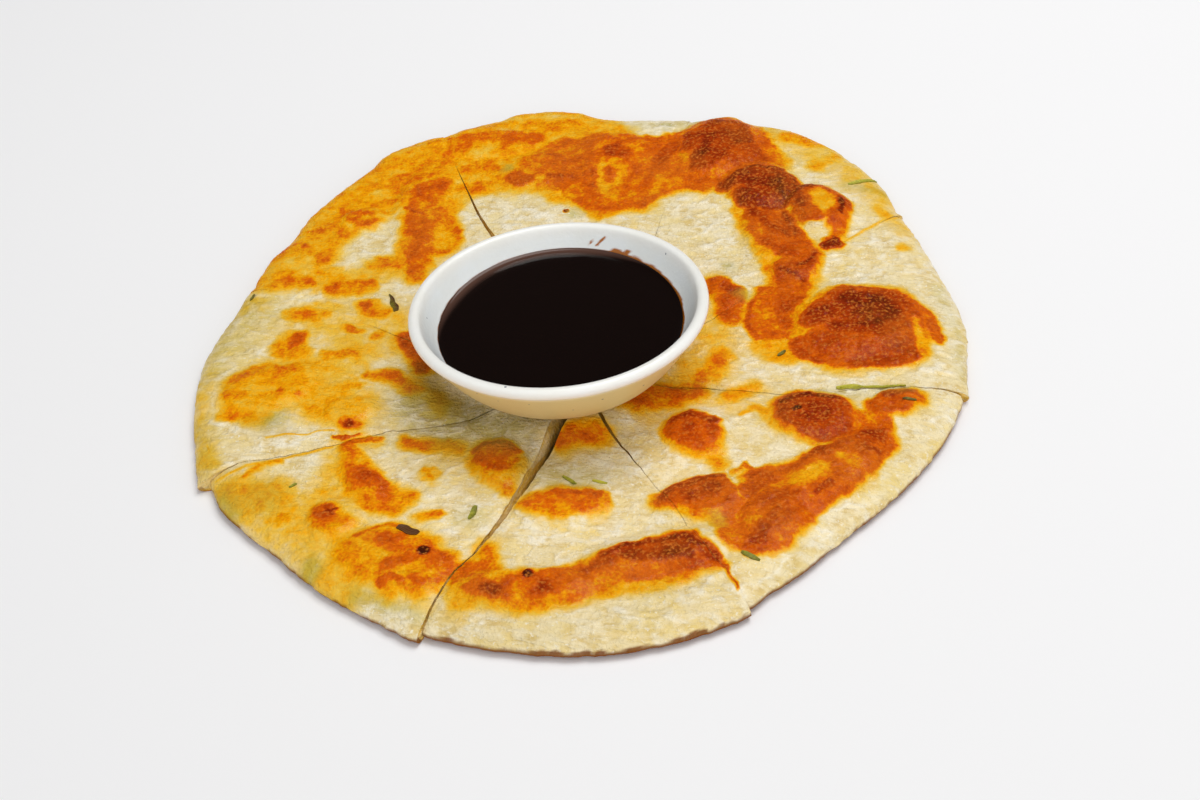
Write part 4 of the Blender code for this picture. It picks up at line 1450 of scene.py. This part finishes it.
@dataclass(frozen=True)
class StudioFloor(Finish):
    """A plain pale floor."""

    def dress(self, recipe: Recipe, shader: bpy.types.Node) -> None:
        """Adds a faint unevenness to the floor's white.

        Args:
            recipe: The material's recipe.
            shader: Its shader.
        """
        drift = recipe.group("grain", Size_mm=60.0, Detail=3.0)
        faint = recipe.span(drift, 0.0, 1.0, 0.0, 0.04)
        recipe.feed(shader.inputs["Base Color"], recipe.tint(faint, Tone.FLOOR, Tone.GLAZE))


@dataclass(frozen=True)
class Grid:
    """A slice's points, as its block gives them.

    Attributes:
        across: From 0 at the slice's first cut to 1 at its last, anticlockwise.
        along: From 0 at the tip to 1 at the outer edge.
        level: From 0 at the foot to 1 at the top.
        edge: How far from the hub the outer edge is there.
        inside: How far inside that edge a point lies, on the top.
    """

    across: Array
    along: Array
    level: Array
    edge: Array
    inside: Array
    touch: float = 1e-4

    @property
    def distance(self) -> Array:
        """How far from the hub the points lie, on the top."""
        return self.edge - self.inside

    @property
    def side(self) -> Array:
        """True on the two cut sides."""
        return np.minimum(self.across, 1.0 - self.across) < self.touch

    @property
    def rim(self) -> Array:
        """True on the outer edge."""
        return self.along > 1.0 - self.touch

    @property
    def under(self) -> Array:
        """True on the underside."""
        return self.level < self.touch

    @property
    def walls(self) -> Array:
        """True on the cut sides, the outer edge and the blunt tip, up to the top's own edge."""
        return (self.side | self.rim | (self.along < self.touch)) & (self.level <= 1.0 - self.touch)


@dataclass
class PancakeSlice:
    """One slice: its top with blisters and browning, its layered sides and its rounded outer edge."""

    name: str
    order: int
    crust: Crust
    pitch: float = 0.58
    layers: int = 8
    bite: float = 0.5
    knife_reach: float = 1.1
    foot_reach: float = 0.85
    notch: float = 0.7
    line_height: float = 2.75
    line_share: float = 0.9
    foot_tone: float = 0.9

    def __post_init__(self) -> None:
        """Works out the slice's curves from its cuts and its edge."""
        turns, distances = around_hub(*np.array(EDGES[self.name], float).T)
        self.edge = SmoothCurve(tuple(sorted(zip(turns, distances))))
        self.first, self.last = CUTS[self.order], CUTS[(self.order + 1) % len(CUTS)]
        self.first_curve, self.last_curve = self.first.curve, self.last.curve

    def sides(self, distance: Array) -> tuple[Array, Array]:
        """The turns of the slice's two cut sides.

        Args:
            distance: Distances from the hub.

        Returns:
            The turns where the slice starts and ends, anticlockwise.
        """
        first = self.first_curve.at(distance) + self.first.half_angle(distance)
        last = self.last_curve.at(distance) - self.last.half_angle(distance)
        return first, np.where(last > first - math.pi, last, last + 2 * math.pi)

    def tip(self) -> float:
        """Where the slice's blunt tip starts.

        Returns:
            Its distance from the hub.
        """
        distances = np.arange(1.0, 20.0, 0.25)
        first, last = self.sides(distances)
        return float(distances[np.argmax((last - first) * distances >= TIP_WIDTH)])

    def reach(self, across: Array) -> Array:
        """The outer edge's distance from the hub.

        Args:
            across: Shares of the way across the slice.

        Returns:
            One distance for each share.
        """
        distance = mix(self.edge.knots[0][1], self.edge.knots[-1][1], across)
        for _ in range(3):
            distance = self.edge.at(mix(*self.sides(distance), across))
        turn = mix(*self.sides(distance), across)
        place = distance * np.cos(turn), distance * np.sin(turn)
        return distance - EDGE_INSET - self.notch * np.abs(Grain(4.6, 3, 68).at(*place))

    def lay(self, across: Array, distance: Array, nudge: Array | float = 0.0) -> tuple[Array, Array, Array]:
        """Places on the slice, seen from above.

        Args:
            across: Shares of the way across the slice.
            distance: Distances from the hub.
            nudge: Turns to add.

        Returns:
            X, Y and the turn about the hub.
        """
        turn = mix(*self.sides(distance), across) + nudge
        return HUB[0] + distance * np.cos(turn), HUB[1] + distance * np.sin(turn), turn

    def block(self) -> tuple[Piece, Grid]:
        """The block that the slice is shaped from, cut finely enough for its size.

        Returns:
            The block and its points.
        """
        tip = self.tip()
        edge_ends = self.reach(np.array([0.0, 0.5, 1.0]))
        first, last = self.sides(edge_ends)
        columns = math.ceil((last - first)[1] * edge_ends[1] / self.pitch / 12)
        rows = math.ceil((edge_ends.max() - tip) / self.pitch / 1.1 / 12)
        block = Bench.block(self.name + "_dough", ((12, columns), (12, rows), (self.layers,)))
        u, v, w = Bench.places(block).T
        edge = self.reach(1.0 - u)
        return block, Grid(1.0 - u, v, w, edge, (edge - tip) * (0.55 * (1.0 - v) + 0.45 * (1.0 - v) ** 2))

    def top(self, grid: Grid) -> tuple[Array, Array]:
        """The finished top, pressed down at the cuts and rounded at the outer edge.

        Args:
            grid: The slice's points.

        Returns:
            The height above each point's foot, and how browned it is.
        """
        x, y, turn = self.lay(grid.across, grid.distance)
        tone = self.crust.browning(x, y)
        top = self.crust.skin(x, y, tone)
        frayed = 1.0 + 0.8 * Grain(2.4, 2, 61).at(x, y)
        start, end = self.sides(grid.distance)
        for cut, beside in ((self.first, turn - start), (self.last, end - turn)):
            beside = beside * grid.distance / self.knife_reach
            top = top - cut.dip * self.crust.foot_share(x, y) * np.exp(-(beside**2)) * frayed
        margin = self.crust.margin(turn) * (1.0 + 0.10 * Grain(14.0, 2, 62).at(x, y))
        return mix(EDGE_HEIGHT, top, round_share(grid.inside / margin)), tone

    def leaves(self, grid: Grid, top: Array) -> Array:
        """The dough's layers, as they show at the cut sides.

        Args:
            grid: The slice's points.
            top: The height of the top there.

        Returns:
            From -1, where a layer stands out, to 1, between two layers.
        """
        x, y, _ = self.lay(grid.across, grid.distance)
        return Grain(1.0, 2, 63).at(x * 0.22, y * 0.22, grid.level * top * 1.7)

    def form(self, grid: Grid, top: Array, leaf: Array) -> Array:
        """Where the points go: the walls tucked in at the foot, and bitten between the layers.

        Args:
            grid: The slice's points.
            top: The height of the top there.
            leaf: The layers there.

        Returns:
            The points' places, one row each.
        """
        under = UNDER_ROUND * (1.0 - np.sqrt(np.clip(1.0 - (1.0 - grid.level) ** 2, 0.0, 1.0)))
        tucked = np.maximum(grid.inside, mix(under, TUCK_END, grid.inside / TUCK_END))
        bite = self.bite * np.clip(0.5 + leaf, 0.0, 1.2)
        bite = bite * ease(grid.level * 6.0) * ease((1.0 - grid.level) * 8.0)
        bite = bite * ease(grid.inside / 2.0) * ease((grid.distance - self.tip()) / 4.0)
        distance = grid.edge - tucked
        first_half = grid.across < 0.5
        cut = np.where(first_half, self.first.half_angle(distance), self.last.half_angle(distance))
        foot = self.foot_reach * cut * ease((1.0 - grid.level) * 1.6)
        inwards = np.where(first_half, 1.0, -1.0) * grid.side
        x, y, _ = self.lay(grid.across, distance, inwards * (bite / distance - foot))
        dents = np.where(grid.rim | grid.side, 0.0, 0.16 + 0.16 * Grain(4.0, 3, 64).at(x, y))
        return np.stack([x, y, np.where(grid.under, dents, grid.level * top)], axis=1)

    def colours(self, grid: Grid, places: Array, top: Array, leaf: Array, tone: Array) -> dict[str, Array]:
        """What the dough's finish reads at each point.

        Args:
            grid: The slice's points.
            places: Where they have gone.
            top: The height of the top there.
            leaf: The layers there.
            tone: How browned the top is there.

        Returns:
            A value for each point, by name.
        """
        x, y, z = places.T
        frayed = 0.6 * Grain(5.0, 2, 65).at(x, y) + 0.35 * Grain(1.6, 2, 67).at(x, y)
        lower = 0.7 * ease((np.abs(x) - 30.0) / 30.0)
        foot_tone = self.foot_tone * ease((np.where(grid.side, 0.9, 2.0 - lower) + frayed - z) / 1.2)
        tone = np.where(grid.walls, np.maximum(tone * ease(1.0 - (top - z) / 0.8), foot_tone), tone)
        front = 0.25 + 0.75 * ease((-y - 30.0) / 30.0)
        line = ease((self.line_height - lower + 0.8 * frayed - z) / 0.4) * ease((1.3 - grid.inside) / 0.4)
        # Painted shade deep in the cut sides: darker low down and near the hub, where little light gets in
        near_hub = 0.25 + 0.7 * ease((54.0 - grid.distance) / 18.0)
        fibres = 0.5 + 0.5 * ease(0.5 - 1.6 * leaf)
        depth = np.where(grid.side, near_hub * fibres * ease((top - 1.8 - z) / 2.4), 0.0)
        tints = {name: share * ~grid.under for name, share in self.crust.tints(x, y).items()}
        return tints | {
            "tone": np.where(grid.under, 0.55 + 0.35 * Grain(9.0, 4, 66).at(x, y), tone),
            "line": np.where(grid.under, 0.0, self.line_share * front * line),
            "painted_shade": np.maximum(tints["painted_shade"], depth),
            "side": grid.side & (grid.level > 0.02) & (grid.level < 0.98),
            "leaf": 0.5 + leaf,
        }

    def build(self, finish: bpy.types.Material) -> None:
        """Shapes the slice from a block and dresses it.

        Args:
            finish: The dough's material.
        """
        block, grid = self.block()
        top, tone = self.top(grid)
        leaf = self.leaves(grid, top)
        places = self.form(grid, top, leaf)
        Bench.move(block, places)
        for name, values in self.colours(grid, places, top, leaf, tone).items():
            Bench.paint(block, name, values)
        Bench.settle(block, finish, "fried_dough", self.name)


@dataclass
class DipBowl:
    """The dip bowl: a foot ring, a round belly, a thick lip and the hollow."""

    sides: int = 400
    belly_steps: int = 30
    lip_steps: int = 24
    wall_steps: int = 56
    lip_lower: float = 0.03

    @staticmethod
    def stance() -> Matrix:
        """How the bowl stands on the pancake."""
        return Matrix.Translation(BOWL_FOOT) @ Matrix.Rotation(BOWL_LEAN, 4, "X")

    @staticmethod
    def lip_point(turn: float) -> Place:
        """Radius and height of the lip's round at a turn, from its outer side over the top."""
        return LIP_CENTRE[0] + LIP_HALF * math.cos(turn), LIP_CENTRE[1] + LIP_HALF * math.sin(turn)

    @staticmethod
    def wall_radius(height: float) -> float:
        """How wide the inner wall is.

        Args:
            height: The height above the foot.

        Returns:
            The wall's radius there.
        """
        across, along = WALL_POWERS
        widest, top = DipBowl.lip_point(LIP_END)
        share = (height - FLOOR_HEIGHT) / (top - FLOOR_HEIGHT)
        return widest * (1.0 - (1.0 - share) ** along) ** (1.0 / across)

    @staticmethod
    def wall(steps: int) -> list[Place]:
        """The section of the inner wall.

        Args:
            steps: How many points it has.

        Returns:
            Radius and height of its points, from the lip down to just above the floor.
        """
        top = DipBowl.lip_point(LIP_END)[1]
        heights = [mix(FLOOR_HEIGHT, top, (1.0 - k / steps) ** 1.5) for k in range(steps)]
        return [(DipBowl.wall_radius(height), height) for height in heights]

    @staticmethod
    def place(points: Array) -> Array:
        """The bowl's own points at their place on the pancake."""
        stance = np.array(DipBowl.stance())
        return points @ stance[:3, :3].T + stance[:3, 3]

    def profile(self) -> list[Place]:
        """The bowl's section.

        Returns:
            Radius and height of its points, from the foot's middle to the floor's middle.
        """
        ring = FOOT_RADIUS - FOOT_RING
        points = [(0.0, FOOT_RECESS), (ring * 0.5, FOOT_RECESS), (ring - FOOT_CHAMFER, FOOT_RECESS)]
        points += [(ring, 0.25), (ring + 0.4, 0.0), (FOOT_RADIUS - FOOT_CHAMFER, 0.0)]
        for k in range(self.belly_steps + 1):
            share = (k / self.belly_steps) ** 1.6
            radius = mix(FOOT_RADIUS, BELLY_TOP[0], share**BELLY_POWER)
            points.append((radius, mix(FOOT_CHAMFER, BELLY_TOP[1], share)))
        for k in range(self.lip_steps + 1):
            points.append(self.lip_point(mix(-0.5 * math.pi, LIP_END, k / self.lip_steps)))
        return points + self.wall(self.wall_steps)[1:] + [(0.0, FLOOR_HEIGHT)]

    def stain(self, turn: Array, above: Array) -> Array:
        """The dried sauce on the inner wall.

        Args:
            turn: Turns about the bowl's axis in degrees, from the right.
            above: Heights above the sauce.

        Returns:
            How stained each place is, from 0 to 1.
        """
        ripple = Grain(9.0, 3, 71).at(turn, above * 4.0)
        film = (0.5 + 0.45 * ripple) * ease((turn + 26.0) / 14.0) * ease((66.0 - turn) / 8.0)
        stain = ease((film - above) / 0.3 + 0.5) * 0.85
        for middle, low, high, half in STAIN_DROPS:
            lean = middle - (above - low) * 1.6
            drop = ease(1.4 - np.abs(turn - lean) / half)
            drop = drop * ease((above - low) / 0.3 + 1.0) * ease((high - above) / 0.4)
            stain = np.maximum(stain, 0.8 * drop)
        return stain

    def build(self, finish: bpy.types.Material) -> None:
        """Turns the bowl, paints its zones and places it.

        Args:
            finish: The glaze's material.
        """
        bowl = Bench.turned("dip_bowl_stoneware", self.profile(), self.sides)
        own = Bench.places(bowl)
        radius, height = np.hypot(own[:, 0], own[:, 1]), own[:, 2]
        turn = np.degrees(np.arctan2(own[:, 1], own[:, 0]))
        wobble = 0.10 * Grain(30.0, 2, 72).at(own[:, 0], own[:, 1], height)
        top = self.lip_point(LIP_END)[1]
        inner = (radius < LIP_CENTRE[0] - 0.1) & (height > FLOOR_HEIGHT - 0.01)
        inner &= radius <= np.array([self.wall_radius(min(max(h, FLOOR_HEIGHT), top)) for h in height]) + 0.9
        outer = ~inner & (height < BELLY_TOP[1] + 0.01)
        free = np.where(outer & (height > 2.0), 1.0, 0.0)
        own[:, :2] *= (1.0 + free * wobble / np.maximum(radius, 1.0))[:, None]
        own[:, 2] -= self.lip_lower * ease(height - BELLY_TOP[1])
        placed = self.place(own)
        Bench.move(bowl, placed)
        # Painted light: the belly takes the warm painted reflection of the pancake, the hollow a cooler white
        Bench.paint(bowl, "belly", outer * ease((BELLY_TOP[1] + 0.35 - height) / 0.5))
        Bench.paint(bowl, "hollow", inner * ease((top - height) / 3.0))
        Bench.paint(bowl, "stain", inner * self.stain(turn, placed[:, 2] - SAUCE_SHOWN - 0.3))
        Bench.settle(bowl, finish, "bowl_glaze", "dip_bowl")


@dataclass
class DipSauce:
    """The sauce: the hollow of the bowl up to its level, drawn up a little at the wall."""

    sides: int = 216
    wall_steps: int = 24
    level: float = SAUCE_SHOWN
    climb: float = 0.5
    climb_reach: float = 0.8
    rings: tuple[float, ...] = (0.12, 0.27, 0.47, 0.8, 1.2, 1.6, 2.0, 2.5, 3.2, 5.0, 9.0, 18.0)
    thin_side: float = math.radians(112)
    overlap: float = 0.05

    def surface(self, places: Array) -> Array:
        """True for the points at the sauce's level."""
        return places[:, 2] > self.level - 1e-3

    def build(self, finish: bpy.types.Material) -> None:
        """Turns the sauce, cuts it at its level and curves its rim.

        Args:
            finish: The sauce's material.
        """
        wall = [(radius + self.overlap, height) for radius, height in DipBowl.wall(self.wall_steps)]
        profile = [(0.0, wall[0][1] + 0.1), *wall, (0.0, FLOOR_HEIGHT - self.overlap)]
        sauce = Bench.turned("dip_sauce_pool", profile, self.sides)
        Bench.move(sauce, DipBowl.place(Bench.places(sauce)))
        with Bench.editing():
            bpy.ops.mesh.select_all(action="SELECT")
            bpy.ops.mesh.bisect(plane_co=(0, 0, self.level), plane_no=(0, 0, 1), clear_outer=True)
        places = Bench.places(sauce)
        rim = places[self.surface(places)]
        middle = rim.mean(0)
        middle[2] = self.level
        rim_turn = np.arctan2(*(rim - middle)[:, 1::-1].T)
        rim_reach = np.hypot(*(rim - middle)[:, :2].T)
        radius = rim_reach.mean()
        Bench.pick(sauce, self.surface(places)[Bench.ends(sauce)].all(axis=1))
        with Bench.editing():
            for before, inwards in zip((0.0, *self.rings), self.rings):
                bpy.ops.mesh.extrude_region_move()
                step = (radius - inwards) / (radius - before)
                bpy.ops.transform.resize(value=(step, step, 1.0), center_override=tuple(middle))
            bpy.ops.mesh.edge_face_add()
            bpy.ops.mesh.select_all(action="SELECT")
            bpy.ops.mesh.normals_make_consistent(inside=False)
        places = Bench.places(sauce)
        level = self.surface(places)
        away = places - middle
        turned = np.arctan2(away[:, 1], away[:, 0])
        order = np.argsort(rim_turn)
        edge = np.interp(turned, rim_turn[order], rim_reach[order], period=2 * math.pi)
        inwards = np.maximum(edge - np.hypot(away[:, 0], away[:, 1]), 0.0)
        places[:, 2] += np.where(level, self.climb * np.exp(-inwards / self.climb_reach), 0.0)
        Bench.move(sauce, places)
        far_side = 0.05 + 0.95 * ease((np.cos(turned - self.thin_side) - 0.2) / 0.7)
        Bench.paint(sauce, "thin", np.where(level, far_side * ease(1.15 - inwards / (3.1 * far_side)), 0.0))
        Bench.settle(sauce, finish, "dip_sauce", "dip_sauce")


@dataclass
class ScallionFlecks:
    """The flakes of scallion that show on the slices, each a thin wavy strip."""

    crust: Crust
    thickness: float = 0.28
    wave: float = 0.16

    def surface(self, x: Array, y: Array) -> Array:
        """The height of the finished skin, out to its margin.

        Args:
            x, y: Places in millimetres.

        Returns:
            The height at each place.
        """
        turn, distance = around_hub(x, y)
        outline = np.array([point for edge in EDGES.values() for point in edge], float)
        turns, distances = around_hub(*outline.T)
        order = np.argsort(turns)
        edge = np.interp(turn, turns[order], distances[order], period=2 * math.pi)
        top = self.crust.skin(x, y, self.crust.browning(x, y))
        return mix(EDGE_HEIGHT, top, round_share((edge - distance) / self.crust.margin(turn)))

    def strip(self, order: int, fleck: Fleck) -> Piece:
        """One flake, shaped from a thin block.

        Args:
            order: Its place in the list.
            fleck: Its place and size.

        Returns:
            The flake, in millimetres.
        """
        piece = Bench.block(f"fleck_{order}", ((14,), (6,), (2,)))
        u, v, w = Bench.places(piece).T
        along, side = (u - 0.5) * fleck.long, (v - 0.5) * fleck.wide
        taper = 1.0 - 0.55 * np.abs(2 * u - 1) ** 3.0
        ragged = 1.0 + 0.18 * Grain(1.5, 2, 80 + order).at(along, side)
        bend = 0.07 * fleck.wide * np.sin(along * 1.3 + 2.0 * order)
        side = side * taper * ragged * (1.0 - fleck.point * u) + bend
        cosine, sine = math.cos(math.radians(fleck.turn)), math.sin(math.radians(fleck.turn))
        x = fleck.x + along * cosine - side * sine
        y = fleck.y + along * sine + side * cosine
        curl = 0.25 * (2 * v - 1) ** 2 + self.wave * np.sin(along * 1.1 + order)
        z = self.surface(x, y) + 0.15 * fleck.proud + 0.4 * curl + (w - 0.5) * self.thickness
        Bench.move(piece, np.stack([x, y, z], axis=1))
        shade = fleck.green + 0.18 * (v - 0.5) + 0.12 * Grain(2.0, 2, 90).at(along, side)
        Bench.paint(piece, "green", shade)
        Bench.paint(piece, "rib", v)
        return piece

    def build(self, finish: bpy.types.Material) -> None:
        """Makes all flakes and joins them.

        Args:
            finish: The leaf's material.
        """
        strips = [self.strip(order, fleck) for order, fleck in enumerate(FLECKS)]
        bpy.ops.object.select_all(action="DESELECT")
        for strip in strips:
            strip.select_set(True)
        bpy.context.view_layer.objects.active = strips[0]
        bpy.ops.object.join()
        strips[0].name = "scallion_flecks"
        Bench.settle(strips[0], finish, "fried_dough")


@dataclass
class Studio:
    """The plain floor, the soft lights and the camera."""

    lens: float = 50.0
    sensor: float = 36.0
    camera_place: tuple[float, float, float] = (4.59, -359.32, 299.72)
    camera_axes: tuple[tuple[float, float, float], ...] = (
        (0.9951, -0.066, -0.0734), (0.0986, 0.6653, 0.74), (0.0, -0.7436, 0.6686))
    floor_size: float = 6.0
    floor_drop: float = 0.0002
    room_front: float = 0.72
    room_back: float = 0.08

    @staticmethod
    def light(name: str, place: Vector, size: float, energy: float, warmth: float) -> None:
        """A soft square light that faces the pancake.

        Args:
            name: Its name.
            place: Where it is, in metres.
            size: Its side, in metres.
            energy: Its power in watts.
            warmth: How warm its light is, from 0.
        """
        bpy.ops.object.light_add(type="AREA", location=place)
        lamp = Bench.added(name)
        lamp.rotation_euler = (-place).to_track_quat("-Z", "Y").to_euler()
        lamp.data.size = size
        lamp.data.energy = energy
        lamp.data.color = (1.0, 1.0 - 0.06 * warmth, 1.0 - 0.14 * warmth)

    def room(self) -> bpy.types.World:
        """The room's soft light: bright at the front and the sides, dim at the back.

        Returns:
            The world.
        """
        world = bpy.data.worlds.new("studio")
        world.use_nodes = True
        recipe = Recipe(world.node_tree)
        direction = recipe.add("SeparateXYZ", {0: recipe.add("TexCoord").outputs["Generated"]})
        strength = recipe.span(direction.outputs["Y"], -0.2, 0.6, self.room_front, self.room_back)
        background = world.node_tree.nodes["Background"]
        background.inputs["Color"].default_value = (1.0, 1.0, 1.0, 1.0)
        recipe.feed(background.inputs["Strength"], strength)
        return world

    def build(self) -> None:
        """Sets the floor, the lights, the world and the camera."""
        bpy.ops.object.select_all(action="DESELECT")
        bpy.ops.mesh.primitive_plane_add(size=self.floor_size, location=(0, 0, -self.floor_drop))
        floor = Bench.added("floor")
        floor.data.materials.append(StudioFloor("studio_floor", roughness=0.6, specular=0.2).material())
        self.light("key", Vector((0.32, 0.26, 1.08)), size=0.75, energy=7.4, warmth=0.1)
        self.light("fill", Vector((0.1, -1.2, 0.6)), size=1.2, energy=2.4, warmth=0.0)
        bpy.context.scene.world = self.room()
        bpy.context.scene.view_settings.view_transform = "Standard"

        bpy.ops.object.camera_add()
        camera = Bench.added("camera")
        right, up, back = (Vector(axis) for axis in self.camera_axes)
        turned = Matrix((right, up, back)).transposed().to_4x4()
        camera.matrix_world = Matrix.Translation(Vector(self.camera_place) * MM) @ turned
        camera.data.lens = self.lens
        camera.data.sensor_width = self.sensor
        camera.data.clip_start = 0.01
        bpy.context.scene.camera = camera


def main() -> None:
    """Builds the studio, the slices, the bowl, the sauce and the scallion."""
    Effect.build_all()
    Studio().build()
    crust = Crust()
    dough = FriedDough("fried_dough_skin", roughness=0.45, specular=0.05, coat_roughness=0.14).material()
    glaze = BowlGlaze("stoneware_glaze", roughness=0.25, specular=0.5).material()
    sauce = DarkSauce("dark_sauce", roughness=0.06, specular=0.25).material()
    leaf = ScallionLeaf("scallion_leaf", roughness=0.4, specular=0.4).material()
    for order, name in enumerate(EDGES):
        PancakeSlice(name, order, crust).build(dough)
    DipBowl().build(glaze)
    DipSauce().build(sauce)
    ScallionFlecks(crust).build(leaf)


if __name__ == "__main__":
    main()
